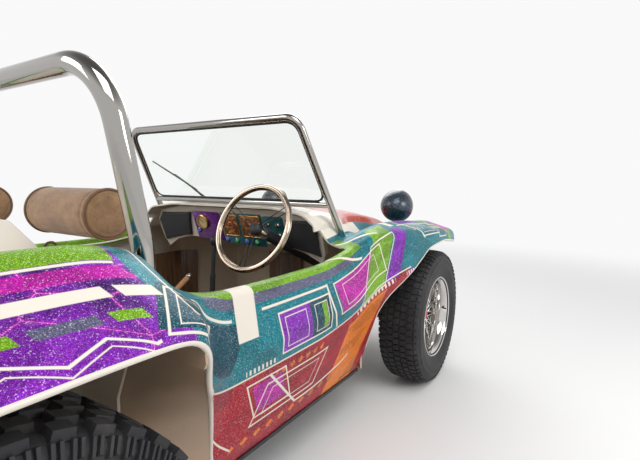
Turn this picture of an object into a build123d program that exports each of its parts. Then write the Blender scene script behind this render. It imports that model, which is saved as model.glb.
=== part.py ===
from build123d import *
from math import atan, atan2, cos, degrees, hypot, pi, radians, sin, tan
import os

os.makedirs("parts", exist_ok=True)

# Short-wheelbase open beach buggy on a rear-engined floor pan, in millimetres.
# +X runs forward, +Y to the car's left, +Z up; the origin is on the ground, midway along.

# Overall layout
WHEELBASE = 2032
HALF_LENGTH = 1650
NOSE_X = HALF_LENGTH - 90
FRONT_X = WHEELBASE / 2
REAR_X = -WHEELBASE / 2
SKIN = 7
SEAT_GAP = 0.3
MOVE_GAP = 5
FIT_GAP = 0.05

# Wheels and tyres
RIM_LIP_R = 208
BEAD_R = 192
RIM_WALL = 7
FRONT_TYRE_R = 345
FRONT_TYRE_WIDTH = 210
FRONT_RIM_WIDTH = 180
FRONT_WHEEL_Y = 668
REAR_TYRE_R = 363
REAR_TYRE_WIDTH = 290
REAR_RIM_WIDTH = 250
REAR_WHEEL_Y = 713
LUG_DEPTH = 13
TREAD_EDGE = 12
REAR_LUGS = 20
SPOKES = 20
SPOKE_SIZE = 7
DRUM_R = 116
DRUM_WALL = 8
FRONT_DRUM_Y = 579
REAR_DRUM_Y = 612
DRUM_WIDTH = 56
HUB_R = 32
SPINDLE_R = 15

# Front axle and steering
KING_PIN_Y = 540
BALL_PIN_R = 9
BALL_PIN_RISE = 80
STEER_ARM = 140
ROD_Z = FRONT_TYRE_R + 47
ROD_R = 9
ROD_EYE_R = 17
ROD_PIN_R = 8
ROD_EYE_HEIGHT = 16
ARM_PLATE = 10
DROP_ARM_Y = -250
BEAM_X = FRONT_X + 130
BEAM_TUBE_R = 29
BEAM_HALF = 430

# Rear axle
TORSION_X = REAR_X + 390
TORSION_Z = REAR_TYRE_R - 45
TORSION_R = 42
TOWER_Y = 488
HEAD_HALF = 62
HORN_INNER_Y = 150
HORN_OUTER_Y = 210

# Steering wheel, on the right-hand side
STEER_X = 68
STEER_Y = -316
STEER_Z = 866
STEER_BOX_X = FRONT_X - 30
STEER_BOX_Z = ROD_Z + 65.3
STEER_LEAN = (STEER_Z - STEER_BOX_Z) / (STEER_BOX_X - STEER_X)
STEER_TILT = degrees(atan(STEER_LEAN))
STEER_R = 167
STEER_GRIP_R = 13
STEER_SPOKE_R = 3.5
SHAFT_R = 10
COLUMN_R = 22

# Floor pan
PAN_Z = 205
PAN_PRESS = 12
PAN_RIB = 9
PAN_HALF = 575
PAN_REAR_X = -600
PAN_FRONT_X = 690
FOOT_HALF = 345
FOOT_START_X = 470
TUNNEL_HALF = 75
TUNNEL_TOP = 345

# Windscreen
SCREEN_BASE_X = 290
SCREEN_BASE_Z = 950
SCREEN_TOP_X = 118
SCREEN_TOP_Z = 1278
SCREEN_BASE_HALF = 530
SCREEN_TOP_HALF = 488
SCREEN_TUBE_R = 14
SCREEN_CORNER = 60
SCREEN_FOOT_Z = 790
GLASS_THICK = 6

# Roll hoop
HOOP_TUBE_R = 25.4
HOOP_Y = 580
HOOP_FOOT_X = -604
HOOP_KNEE_Z = 900
HOOP_TOP_X = -680
HOOP_TOP_Z = 1290
HOOP_CORNER = 130
HOOP_KNEE = 300
HOOP_BASE_X = -528
HOOP_BASE_Y = 512
HOOP_BASE_Z = 232
HOOP_FOOT = 41

# Seats and head rolls
SEAT_INNER_Y = 85
SEAT_OUTER_Y = 500
SEAT_WAIST_Z = 600
ROLL_X = -600
ROLL_Z = 962
ROLL_R = 65
ROLL_INNER_Y = 165
ROLL_OUTER_Y = 465
ROLL_EDGE = 12

# Dash: a raked panel under the cowl
DASH_X = 240
DASH_Z = 930
DASH_RAKE = 0.35
DASH_THICK = 26
DASH_PAD = 14
DASH_PLATE = 4
GAUGE_R = 37

# Headlamps
LAMP_X = 1192
LAMP_Y = 445
LAMP_Z = 907
LAMP_R = 94

# Bumpers, tow eye and plate bracket
BUMPER_R = 22
TOW_EYE_R = 12
TOW_EYE_WIDTH = 16
PLATE_BOLTS = 300
PLATE_BOLT_R = 3.3


def save(shape, name):
    """Write one named piece."""
    export_step(shape, f"parts/{name}.step")


def both_sides(shape):
    """A left-hand piece together with its mirrored twin."""
    return Compound([*shape.solids(), *mirror(shape, Plane.XZ).solids()])


def fuse(*shapes):
    """One solid from touching ones."""
    whole = shapes[0]
    for shape in shapes[1:]:
        whole = whole + shape
    return whole


def box(x0, x1, y0, y1, z0, z1):
    """A plain block between two corners."""
    return Pos((x0 + x1) / 2, (y0 + y1) / 2, (z0 + z1) / 2) * Box(x1 - x0, y1 - y0, z1 - z0)


def rod(start, end, radius, bore=0):
    """A round bar, or a tube where a bore is given, between two points."""
    a, b = Vector(*start), Vector(*end)
    plane = Plane(origin=a, z_dir=(b - a).normalized())
    bar = extrude(plane * Circle(radius), (b - a).length)
    if bore:
        bar -= extrude(plane * Circle(bore), (b - a).length)
    return bar


def pipe(points, radii, radius):
    """A bent tube of straight runs joined by tangent arcs."""
    path = FilletPolyline(*points, radius=radii)
    start = Plane(origin=path @ 0, z_dir=path % 0)
    return sweep(start * Circle(radius), path=path)


def turned(profile, y):
    """Revolve (offset, radius) points about a wheel's axle; offset grows away from the car."""
    line = Polyline(*[(radius, offset) for offset, radius in profile], close=True)
    disc = revolve(Plane.XZ * make_face(line), Axis.Z)
    return Pos(0, y, 0) * (Rot(-90, 0, 0) * disc)


def offset_corners(points, distance):
    """Shift an open run of points sideways by a distance, keeping its runs parallel."""
    normals = []
    for (y0, z0), (y1, z1) in zip(points, points[1:]):
        length = hypot(y1 - y0, z1 - z0)
        normals.append(((z1 - z0) / length, -(y1 - y0) / length))
    shifted = [(points[0][0] + distance * normals[0][0], points[0][1] + distance * normals[0][1])]
    for (y, z), (ay, az), (by, bz) in zip(points[1:-1], normals, normals[1:]):
        scale = distance / (1 + ay * by + az * bz)
        shifted.append((y + scale * (ay + by), z + scale * (az + bz)))
    last = normals[-1]
    shifted.append((points[-1][0] + distance * last[0], points[-1][1] + distance * last[1]))
    return shifted


def turn_side(a, b, c):
    """Positive where the run turns left at its middle point."""
    return (b[0] - a[0]) * (c[1] - b[1]) - (b[1] - a[1]) * (c[0] - b[0])


def band(points, radii):
    """A wall of even thickness below an open outline with rounded corners."""
    inner = offset_corners(points, SKIN)
    inner_radii = []
    for a, b, c, radius in zip(points, points[1:], points[2:], radii):
        grow = SKIN if turn_side(a, b, c) > 0 else -SKIN
        inner_radii.append(max(radius + grow, 1))
    top = FilletPolyline(*points, radius=radii)
    under = FilletPolyline(*inner, radius=inner_radii)
    caps = [Line(top @ 0, under @ 0), Line(top @ 1, under @ 1)]
    return make_face([*top.edges(), *under.edges(), *caps])


def station(x):
    """The upright plane across the car at a distance forward; its first axis runs to the left."""
    return Plane(origin=(x, 0, 0), x_dir=(0, 1, 0), z_dir=(1, 0, 0))


def shell(stations, radii):
    """A skin lofted through stations, each an x and its outline of (y, z) points."""
    faces = [station(x) * band(points, radii) for x, points in stations]
    return loft(faces, ruled=True)


def side_profile(points, y0, y1):
    """A prism across the car from an outline of (x, z) points."""
    line = Polyline(*points, close=True)
    face = Plane(origin=(0, y1, 0), x_dir=(1, 0, 0), z_dir=(0, -1, 0)) * make_face(line)
    return extrude(face, y1 - y0)


# Wheel parts
def lug_ring(outer_r, base_r, count, y0, y1, phase):
    """A row of lugs round a tyre: a toothed ring between two offsets along the axle."""
    pitch = 2 * pi / count
    corners = []
    for index in range(count):
        angle = index * pitch + phase
        for share, r in ((-0.29, base_r), (-0.27, outer_r), (0.27, outer_r), (0.29, base_r)):
            corners.append((r * sin(angle + share * pitch), r * cos(angle + share * pitch)))
    face = make_face(Polyline(*corners, close=True)) - Circle(base_r - 14)
    plane = Plane(origin=(0, y1, 0), x_dir=(1, 0, 0), z_dir=(0, -1, 0))
    return extrude(plane * face, y1 - y0)


def tyre(width, outer_r, rim_width, lugs, lug_long):
    """A tyre on its own centre: a carcass and, where it has them, two staggered rows of lugs."""
    half, rim_half = width / 2, rim_width / 2
    base_r = outer_r - LUG_DEPTH if lugs else outer_r
    bead = BEAD_R + SEAT_GAP
    middle = (base_r + bead) / 2
    left = [(-rim_half + 9, bead), (-half, middle), (-half + 20, base_r)]
    body = turned(left + [(-offset, r) for offset, r in reversed(left)], 0)
    if lugs:
        inner = half - TREAD_EDGE - lug_long
        body += lug_ring(outer_r, base_r, lugs, inner, half - TREAD_EDGE, 0)
        body += lug_ring(outer_r, base_r, lugs, TREAD_EDGE - half, -inner, pi / lugs)
    return body


def build_wheels():
    """Four wheels and their tyres."""
    kinds = [("front", FRONT_X, FRONT_WHEEL_Y, FRONT_TYRE_R, FRONT_TYRE_WIDTH, FRONT_RIM_WIDTH,
              FRONT_DRUM_Y, 0, 0),
             ("rear", REAR_X, REAR_WHEEL_Y, REAR_TYRE_R, REAR_TYRE_WIDTH, REAR_RIM_WIDTH,
              REAR_DRUM_Y, REAR_LUGS, 82)]
    for name, x, y, tyre_r, width, rim_width, drum_y, lugs, lug_long in kinds:
        place = Pos(x, y, tyre_r)
        rubber = place * tyre(width, tyre_r, rim_width, lugs, lug_long)
        half = rim_width / 2
        face = drum_y + DRUM_WIDTH - y
        start = drum_y - y
        barrel = turned([(-half, RIM_LIP_R), (-half + 8, BEAD_R), (half - 8, BEAD_R),
                         (half, RIM_LIP_R), (half, RIM_LIP_R - 9), (half - 14, BEAD_R - RIM_WALL),
                         (14 - half, BEAD_R - RIM_WALL), (-half, RIM_LIP_R - 9)], 0)
        hub_start = start + 4
        nose = face + 62
        bore = SPINDLE_R + FIT_GAP
        centre = turned([(hub_start, bore), (face - 10, bore), (face - 10, 0), (nose, 0), (nose, 30),
                         (face + 12, 44), (face, 76), (face, DRUM_R), (start, DRUM_R),
                         (start, DRUM_R - DRUM_WALL), (face - DRUM_WALL, DRUM_R - DRUM_WALL),
                         (face - DRUM_WALL, HUB_R), (hub_start, HUB_R)], 0)
        spokes = []
        barrel_r = BEAD_R - RIM_WALL + 2
        for index in range(SPOKES):
            outer_set = index % 2 == 0
            hub_off, hub_r = (nose - 16, 34) if outer_set else (face + 14, 40)
            rim_off = face + 34 if outer_set else face + 12
            plane = Plane(origin=(0, hub_off, hub_r), z_dir=(0, rim_off - hub_off, barrel_r - hub_r))
            reach = hypot(rim_off - hub_off, barrel_r - hub_r)
            bar = extrude(plane * Rectangle(SPOKE_SIZE, SPOKE_SIZE), reach)
            spokes.append(Rot(0, index * 360 / SPOKES, 0) * bar)
        rim = place * (barrel + centre + spokes)
        for tag, piece in (("tyre", rubber), ("rim", rim)):
            save(piece, f"{tag}_{name}_left")
            save(mirror(piece, Plane.XZ), f"{tag}_{name}_right")


# Front axle
def build_front_axle():
    """Twin-tube beam with trailing arms, dampers, steered knuckles and the rods between them."""
    upper, lower = FRONT_TYRE_R + BALL_PIN_RISE, FRONT_TYRE_R - BALL_PIN_RISE
    pieces = []
    for z in (upper, lower):
        pieces.append(rod((BEAM_X, 0, z), (BEAM_X, BEAM_HALF, z), BEAM_TUBE_R))
        arm = side_arm(z)
        pieces.append(arm)
    tower = side_profile([(BEAM_X - 34, lower - 36), (BEAM_X + 34, lower - 36),
                          (BEAM_X + 34, upper + 30), (BEAM_X + 8, upper + 190),
                          (BEAM_X - 30, upper + 190), (BEAM_X - 34, upper + 30)],
                         BEAM_HALF - 52, BEAM_HALF - 30)
    web = box(BEAM_X - 14, BEAM_X + 14, 60, 84, lower, upper)
    lug = box(BEAM_X - 104, BEAM_X - 66, BEAM_HALF + 8, BEAM_HALF + 62, lower - 10, lower + 10)
    half = fuse(*pieces, tower, web, lug)
    save(fuse(half, mirror(half, Plane.XZ)), "front_beam")

    top_z = upper + 175
    damper_y = BEAM_HALF + 12
    foot = (BEAM_X - 86, damper_y, lower + 12)
    waist = (BEAM_X - 80, damper_y, lower + 110)
    head = (BEAM_X - 8, damper_y, top_z)
    damper = rod((head[0], BEAM_HALF - 30 + SEAT_GAP, top_z), (head[0], damper_y + 12, top_z), 12)
    damper += rod(head, waist, 19)
    damper += rod(waist, foot, 11)
    front_dampers = both_sides(damper)

    for side, name in ((1, "left"), (-1, "right")):
        save(knuckle(side), f"knuckle_{name}")
        save(tie_rod(side), f"tie_rod_{name}")
    save(drop_arm(), "drop_arm")
    return front_dampers


def side_arm(z):
    """A trailing arm from the beam's end back to its ball joint's eye."""
    root = Pos(BEAM_X, BEAM_HALF + 18, z) * Rot(90, 0, 0) * Cylinder(27, 36)
    eye = Pos(FRONT_X, KING_PIN_Y, z) * Cylinder(22, 22)
    outline = Polyline((BEAM_X - 8, BEAM_HALF + 6), (BEAM_X + 12, BEAM_HALF + 34),
                       (FRONT_X + 10, KING_PIN_Y + 12), (FRONT_X - 8, KING_PIN_Y - 14), close=True)
    bar = Pos(0, 0, z - 10) * extrude(make_face(outline), 20)
    hole = Pos(FRONT_X, KING_PIN_Y, z) * Cylinder(BALL_PIN_R + FIT_GAP, 60)
    return fuse(root, eye, bar) - hole


def knuckle(side):
    """Steered upright with ball pins, spindle, backing plate and steering arm."""
    hub = FRONT_TYRE_R
    reach = BALL_PIN_RISE - 11 - 1
    post = Pos(0, 0, hub) * Cylinder(20, 2 * reach)
    pins = Pos(0, 0, hub) * Cylinder(BALL_PIN_R, 2 * (BALL_PIN_RISE + 14))
    plate_y = FRONT_DRUM_Y - MOVE_GAP - KING_PIN_Y
    plate = Pos(0, plate_y - 2, hub) * Rot(90, 0, 0) * Cylinder(DRUM_R + 2, 4)
    boss = Pos(0, (plate_y + 4) / 2, hub) * Rot(90, 0, 0) * Cylinder(34, plate_y + 4)
    spindle = Pos(0, (FRONT_DRUM_Y - KING_PIN_Y + DRUM_WIDTH - 12) / 2, hub) * Rot(90, 0, 0) * Cylinder(
        SPINDLE_R, FRONT_DRUM_Y - KING_PIN_Y + DRUM_WIDTH - 12)
    arm = box(-STEER_ARM - 14, -6, -12, 12, ROD_Z - ARM_PLATE / 2, ROD_Z + ARM_PLATE / 2)
    rise = side * (ARM_PLATE / 2 + 1 + ROD_EYE_HEIGHT)
    pin = rod((-STEER_ARM, 0, ROD_Z), (-STEER_ARM, 0, ROD_Z + rise), ROD_PIN_R)
    whole = fuse(post, pins, boss, plate, spindle, arm, pin)
    whole = Pos(FRONT_X, KING_PIN_Y, 0) * whole
    return whole if side > 0 else mirror(whole, Plane.XZ)


def tie_rod(side):
    """A track rod from its knuckle's arm to the drop arm, with an eye at each end."""
    x = FRONT_X - STEER_ARM
    z = ROD_Z + side * (ARM_PLATE / 2 + 1 + ROD_EYE_HEIGHT / 2)
    ends = (side * KING_PIN_Y, DROP_ARM_Y)
    bar = rod((x, ends[0], z), (x, ends[1], z), ROD_R - 1.5)
    for y in ends:
        bar += Pos(x, y, z) * Cylinder(ROD_EYE_R, ROD_EYE_HEIGHT)
    for y in ends:
        bar -= Pos(x, y, z) * Cylinder(ROD_PIN_R + FIT_GAP, ROD_EYE_HEIGHT * 2)
    return bar


def drop_arm():
    """The steering box's output arm, as long as the knuckles' own arms."""
    top = STEER_BOX_Z - 16
    shaft = rod((FRONT_X, DROP_ARM_Y, ROD_Z - ARM_PLATE / 2), (FRONT_X, DROP_ARM_Y, top), 14)
    plate = box(FRONT_X - STEER_ARM - 12, FRONT_X + 16, DROP_ARM_Y - 14, DROP_ARM_Y + 14,
                ROD_Z - ARM_PLATE / 2, ROD_Z + ARM_PLATE / 2)
    reach = ARM_PLATE / 2 + 1 + ROD_EYE_HEIGHT
    pin = rod((FRONT_X - STEER_ARM, DROP_ARM_Y, ROD_Z - reach),
              (FRONT_X - STEER_ARM, DROP_ARM_Y, ROD_Z + reach), ROD_PIN_R)
    return fuse(shaft, plate, pin)


# Steering
COLUMN_DIR = Vector(cos(radians(STEER_TILT)), 0, -sin(radians(STEER_TILT)))
STEER_CENTRE = Vector(STEER_X, STEER_Y, STEER_Z)


def along_column(x):
    """The point on the steering shaft's line at a distance forward."""
    return STEER_CENTRE + COLUMN_DIR * ((x - STEER_X) / COLUMN_DIR.X)


def build_steering():
    """Steering wheel with its shaft, the fixed column tube and the steering box."""
    plane = Plane(origin=STEER_CENTRE, x_dir=(0, -1, 0), z_dir=-COLUMN_DIR)
    ring = plane.location * Torus(STEER_R, STEER_GRIP_R)
    hub = extrude(plane.offset(-38) * Circle(30), 34)
    whole = ring + hub
    for angle in (90, 210, 330):
        for offset in (-12, 12):
            wire = rod((20, offset, -12), (STEER_R, offset, 0), STEER_SPOKE_R)
            whole += plane.location * (Rot(0, 0, angle) * wire)
    whole += rod(tuple(STEER_CENTRE + COLUMN_DIR * 20), tuple(along_column(STEER_BOX_X - 62)), SHAFT_R)
    save(whole, "steering_wheel")

    tube_start, tube_end = along_column(STEER_X + 75), along_column(650)
    column = rod(tuple(tube_start), tuple(tube_end), COLUMN_R, SHAFT_R + 2)
    bush = rod(tuple(tube_start), tuple(along_column(STEER_X + 95)), COLUMN_R - 4, SHAFT_R + FIT_GAP)
    save(fuse(column, bush), "steering_column")

    centre = along_column(STEER_BOX_X)
    case = Pos(centre) * Rot(0, STEER_TILT, 0) * Rot(0, 90, 0) * Cylinder(30, 120)
    sector = rod((FRONT_X, DROP_ARM_Y, STEER_BOX_Z - 36), (FRONT_X, DROP_ARM_Y, STEER_BOX_Z + 34), 36)
    web = box(FRONT_X - 42, FRONT_X + 18, STEER_Y, DROP_ARM_Y, STEER_BOX_Z - 26, STEER_BOX_Z + 26)
    upper = FRONT_TYRE_R + BALL_PIN_RISE
    clamp = box(FRONT_X + 30, BEAM_X - 4, DROP_ARM_Y - 20, DROP_ARM_Y + 20, upper - 12, upper + 30)
    tube = rod((BEAM_X, DROP_ARM_Y - 60, upper), (BEAM_X, DROP_ARM_Y + 60, upper),
               BEAM_TUBE_R + SEAT_GAP)
    shaft_hole = rod(tuple(along_column(STEER_BOX_X - 90)), tuple(along_column(STEER_BOX_X - 50)),
                     SHAFT_R + 2)
    sector_hole = rod((FRONT_X, DROP_ARM_Y, STEER_BOX_Z - 60), (FRONT_X, DROP_ARM_Y, STEER_BOX_Z - 14),
                      14 + FIT_GAP)
    save(fuse(case, sector, web, clamp) - tube - shaft_hole - sector_hole, "steering_box")


# Floor pan
def build_floor():
    """Pressed pan with its tunnel, frame head and rear frame horns."""
    outline = [(PAN_REAR_X, PAN_HALF), (FOOT_START_X, PAN_HALF), (PAN_FRONT_X, FOOT_HALF)]
    ring = outline + [(x, -y) for x, y in reversed(outline)]
    pan = Pos(0, 0, PAN_Z) * extrude(make_face(Polyline(*ring, close=True)), PAN_PRESS)
    tunnel = extrude(station(PAN_REAR_X) * tunnel_face(), PAN_FRONT_X - PAN_REAR_X)
    for x in (-420, -240, -60, 120, 300):
        for side in (-1, 1):
            pan += box(x - 20, x + 20, min(side * 130, side * 480), max(side * 130, side * 480),
                       PAN_Z + PAN_PRESS, PAN_Z + PAN_PRESS + PAN_RIB)
    head = loft([station(PAN_FRONT_X) * Pos(0, 270) * Rectangle(150, 130),
                 station(BEAM_X - 15) * Pos(0, 285) * Rectangle(240, 60)])
    cut = rod((BEAM_X, -200, FRONT_TYRE_R - BALL_PIN_RISE), (BEAM_X, 200, FRONT_TYRE_R - BALL_PIN_RISE),
              BEAM_TUBE_R + SEAT_GAP)
    horns = []
    for side in (-1, 1):
        lift = REAR_TYRE_R + 37
        horn = side_profile([(PAN_REAR_X + 10, 225), (PAN_REAR_X + 10, TORSION_Z + 7), (-920, lift + 50),
                             (-1112, lift + 50), (-1112, lift), (-940, lift), (-720, 225)],
                            *sorted((side * HORN_INNER_Y, side * HORN_OUTER_Y)))
        horns.append(horn)
    bridge = box(PAN_REAR_X - 40, PAN_REAR_X + 30, -HORN_OUTER_Y, HORN_OUTER_Y, 215, TORSION_Z + 12)
    torsion_seat = rod((TORSION_X, -250, TORSION_Z), (TORSION_X, 250, TORSION_Z), TORSION_R + SEAT_GAP)
    backbone = fuse(tunnel, head - cut, *horns, bridge) - torsion_seat
    save(backbone, "backbone")
    slab = box(PAN_REAR_X - 50, PAN_FRONT_X + 50, -TUNNEL_HALF - SEAT_GAP, TUNNEL_HALF + SEAT_GAP,
               PAN_Z - 1, TUNNEL_TOP)
    reach = HORN_OUTER_Y + SEAT_GAP
    notch = box(PAN_REAR_X - 50, PAN_REAR_X + 30 + SEAT_GAP, -reach, reach, PAN_Z - 1, TUNNEL_TOP)
    save(both_sides((pan - slab - notch).solids().sort_by(Axis.Y)[-1]), "floor_pan")


def tunnel_face():
    """Cross-section of the tunnel: a rounded trough open below."""
    outer = Rectangle(2 * TUNNEL_HALF, TUNNEL_TOP - PAN_Z)
    outer = fillet(outer.vertices().group_by(Axis.Y)[-1], 40)
    return Pos(0, (TUNNEL_TOP + PAN_Z) / 2) * outer


# Rear axle and engine
def build_rear_axle():
    """Torsion tube with spring plates, gearbox with axle tubes, dampers."""
    half = rod((TORSION_X, 0, TORSION_Z), (TORSION_X, 500, TORSION_Z), TORSION_R)
    cap = rod((TORSION_X, 500, TORSION_Z), (TORSION_X, 532, TORSION_Z), TORSION_R + 4)
    plate = side_profile([(TORSION_X + 40, TORSION_Z - 26), (TORSION_X + 40, TORSION_Z + 26),
                          (REAR_X + 30, REAR_TYRE_R + 34), (REAR_X + 30, REAR_TYRE_R - 34)], 508, 516)
    tower = side_profile([(-650, 285), (-650, 350), (-668, 366), (-668, 420), (-846, 790), (-890, 790),
                          (-880, 740), (-700, 300)], TOWER_Y, TOWER_Y + 8)
    half = fuse(half, cap, plate, tower)
    save(fuse(half, mirror(half, Plane.XZ)), "torsion_tube")

    case = loft([station(REAR_X + 230) * Pos(0, REAR_TYRE_R) * Circle(75),
                 station(REAR_X + 60) * Pos(0, REAR_TYRE_R) * Circle(120),
                 station(REAR_X - 70) * Pos(0, REAR_TYRE_R) * Circle(125),
                 station(REAR_X - 150) * Pos(0, REAR_TYRE_R) * Circle(185)], ruled=True)
    tube_end = REAR_DRUM_Y - MOVE_GAP
    tube = rod((REAR_X, 90, REAR_TYRE_R), (REAR_X, tube_end, REAR_TYRE_R), 32)
    flange = rod((REAR_X, 500, REAR_TYRE_R), (REAR_X, tube_end, REAR_TYRE_R), 52)
    backing = rod((REAR_X, tube_end - 5, REAR_TYRE_R), (REAR_X, tube_end, REAR_TYRE_R), DRUM_R + 2)
    stub_end = REAR_DRUM_Y + DRUM_WIDTH - 12
    stub = rod((REAR_X, tube_end - 60, REAR_TYRE_R), (REAR_X, stub_end, REAR_TYRE_R), SPINDLE_R)
    half = fuse(tube, flange, backing, stub)
    spring_plate_slot = box(REAR_X - 60, REAR_X + 60, 508 - SEAT_GAP, 516 + SEAT_GAP, 250, 480)
    ring = rod((REAR_X, 500, REAR_TYRE_R), (REAR_X, 524, REAR_TYRE_R), 80)
    lug = box(REAR_X + 16, REAR_X + 90, 436, 488, REAR_TYRE_R - 14, REAR_TYRE_R + 10)
    half = fuse(half - (spring_plate_slot & ring), lug)
    save(fuse(case, half, mirror(half, Plane.XZ)), "gearbox")

    damper_y = TOWER_Y - 38
    foot, head = (REAR_X + 60, damper_y, REAR_TYRE_R + 16), (REAR_X + 150, damper_y, 760)
    waist = (REAR_X + 100, damper_y, REAR_TYRE_R + 186)
    damper = rod(foot, waist, 24)
    damper += rod(waist, head, 32)
    damper += rod((head[0], damper_y, 752), (head[0], TOWER_Y - SEAT_GAP, 752), 14)
    return both_sides(damper)


def build_engine():
    """Air-cooled flat four: case, finned barrels, shroud, pulley, carburettor, exhaust."""
    front, back = REAR_X - 150 - SEAT_GAP, REAR_X - 470
    axle = REAR_TYRE_R
    case = side_profile([(front, axle - 63), (front, axle + 107), (back, axle + 77), (back, axle - 93),
                         (back + 60, axle - 128), (front - 40, axle - 128)], -105, 105)
    halves = [case]
    for x in (front - 75, front - 205):
        for side in (-1, 1):
            core = rod((x, side * 100, axle), (x, side * 330, axle), 48)
            halves.append(core)
            for index in range(6):
                y = side * (135 + index * 20)
                halves.append(rod((x, y - 2, axle), (x, y + 2, axle), HEAD_HALF))
    for side in (-1, 1):
        lo, hi = sorted((side * 262, side * 372))
        halves.append(box(front - 275, front - 5, lo, hi, axle - HEAD_HALF, axle + HEAD_HALF))
    halves.append(rod((back + 1, 0, axle + 37), (back - 20, 0, axle + 37), 80))
    save(fuse(*halves), "engine")

    fan_x, fan_z = front - 150, axle + 277
    shroud = loft([station(fan_x + 60) * Pos(0, fan_z) * Circle(165),
                   station(fan_x - 60) * Pos(0, fan_z) * Circle(165)])
    head_top = axle + HEAD_HALF + SEAT_GAP
    skirts = box(fan_x - 60, fan_x + 60, -100, 100, axle + 99, axle + 197)
    for side in (-1, 1):
        lo, hi = sorted((side * 106, side * 330))
        skirts += box(fan_x - 60, fan_x + 60, lo, hi, head_top, axle + 197)
    collar = rod((fan_x - 60, 0, fan_z), (fan_x - 110, 0, fan_z), 70)
    generator = rod((fan_x - 110, 0, fan_z), (back + 20, 0, fan_z), 52)
    small = rod((back + 20, 0, fan_z), (back - 20, 0, fan_z), 50)
    save(fuse(shroud, skirts, collar, generator, small), "fan_shroud")

    inlet_x = fan_x - 108
    bowl = rod((inlet_x, 120, axle + 137), (inlet_x, 120, axle + 342), 34)
    manifold = pipe([(inlet_x, 300, head_top), (inlet_x, 300, axle + 157), (inlet_x, -300, axle + 157),
                     (inlet_x, -300, head_top)], [50, 50], 17)
    cleaner = rod((inlet_x - 50, 120, axle + 337), (inlet_x - 50, 120, axle + 402), 80)
    save(fuse(bowl, cleaner, manifold), "carburettor")

    exhaust = rod((back - 62, -330, axle - 101), (back - 62, 330, axle - 101), 55)
    head_bottom = axle - HEAD_HALF - SEAT_GAP
    for side in (-1, 1):
        exhaust += pipe([(front - 75, side * 340, head_bottom), (front - 75, side * 340, axle - 123),
                         (back - 62, side * 300, axle - 123), (back - 62, side * 300, axle - 101)],
                        [25, 20], 20)
        exhaust += rod((back - 62, side * 120, axle - 101), (back - 160, side * 120, axle - 113), 22)
    save(exhaust, "exhaust")


# Body shell stations: x, then the outline from the cockpit side outwards and down
SILL_Z = PAN_Z + PAN_PRESS + SEAT_GAP
BULKHEAD_X = -657
SIDE_RADII = [10, 16, 70, 30]
SIDE_STATIONS = [
    (-650, [(622, 842), (626, 886), (828, 778), (842, 640), (640, 330), (560, 260)]),
    (-600, [(622, 790), (626, 834), (750, 790), (790, 600), (604, 294), (556, SILL_Z)]),
    (-520, [(622, 740), (626, 784), (690, 776), (728, 590), (602, 292), (556, SILL_Z)]),
    (-400, [(622, 722), (626, 766), (664, 762), (678, 580), (600, 292), (556, SILL_Z)]),
    (0, [(622, 718), (626, 762), (664, 756), (676, 580), (600, 298), (556, SILL_Z)]),
    (240, [(618, 746), (622, 790), (662, 784), (680, 590), (600, 298), (556, SILL_Z)]),
]
FRONT_RADII = [30, 60, 40, 70]
FRONT_STATIONS = [
    (240, [(515, 852), (556, 806), (622, 790), (662, 784), (680, 590), (600, 300)]),
    (430, [(508, 862), (548, 815), (612, 850), (690, 826), (690, 600), (596, 300)]),
    (640, [(425, 850), (480, 796), (606, 864), (730, 826), (735, 640), (640, 400)]),
    (1016, [(372, 812), (436, 752), (602, 846), (760, 800), (775, 680), (760, 500)]),
    (1350, [(330, 742), (400, 700), (580, 812), (730, 770), (745, 650), (730, 520)]),
    (NOSE_X, [(300, 640), (370, 606), (540, 690), (660, 660), (680, 580), (665, 500)]),
]
# x, then waist, foot, shoulder, crest, valley, foot of the hump and its top, from the edge inwards
DECK_RADII = [40, 40, 90, 60, 60, 80]
DECK_STATIONS = [
    (-650, [(700, 420), (846, 700), (832, 778), (626, 896), (446, 842), (230, 862), (60, 930)]),
    (-715, [(720, 420), (852, 700), (844, 781), (630, 924), (446, 850), (230, 866), (60, 936)]),
    (-800, [(760, 420), (860, 700), (852, 782), (622, 936), (446, 858), (230, 870), (60, 940)]),
    (-1016, [(790, 420), (866, 700), (858, 785), (612, 930), (440, 866), (230, 876), (60, 940)]),
    (-1240, [(790, 420), (850, 660), (840, 760), (590, 892), (420, 846), (230, 858), (60, 915)]),
    (-1400, [(760, 420), (800, 600), (790, 690), (560, 822), (400, 796), (230, 808), (60, 856)]),
]
HOOD_RADII = [30, 120]
HOOD_START_X = 434
HOOD_STATIONS = [
    (HOOD_START_X, [(506.1, 862.1), (494, 892), (330, 926)]),
    (640, [(424.7, 850.3), (404, 890), (250, 912)]),
    (1016, [(371.7, 812.3), (350, 850), (200, 876)]),
    (1350, [(329.7, 742.3), (310, 776), (170, 806)]),
    (NOSE_X, [(299.7, 640.3), (282, 668), (150, 690)]),
]
COWL_TOP = SCREEN_BASE_Z - SCREEN_TUBE_R - SEAT_GAP
COWL_RADII = [30, 90, 240]
COWL_STATIONS = [
    (198, [(516, 850), (512, 872), (462, 916), (300, COWL_TOP)]),
    (240, [(514.7, 852.3), (510, 874), (462, 916), (300, COWL_TOP)]),
    (300, [(512.5, 855.5), (508, 878), (462, 916), (300, COWL_TOP)]),
    (HOOD_START_X - SEAT_GAP, [(506.2, 862.1), (494, 890), (430, 908), (300, 926)]),
]


def mirrored(points):
    """A right-to-left outline from its left half, listed from the edge inwards."""
    return [(-y, z) for y, z in points] + list(reversed(points))


def whole_shell(stations, radii):
    """A skin from one side of the car to the other."""
    corner_radii = radii + list(reversed(radii))
    return shell([(x, mirrored(points)) for x, points in stations], corner_radii)


def arch_cut(points):
    """The prism that opens a wheel arch on the left."""
    return side_profile(points, 380, 980)


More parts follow.
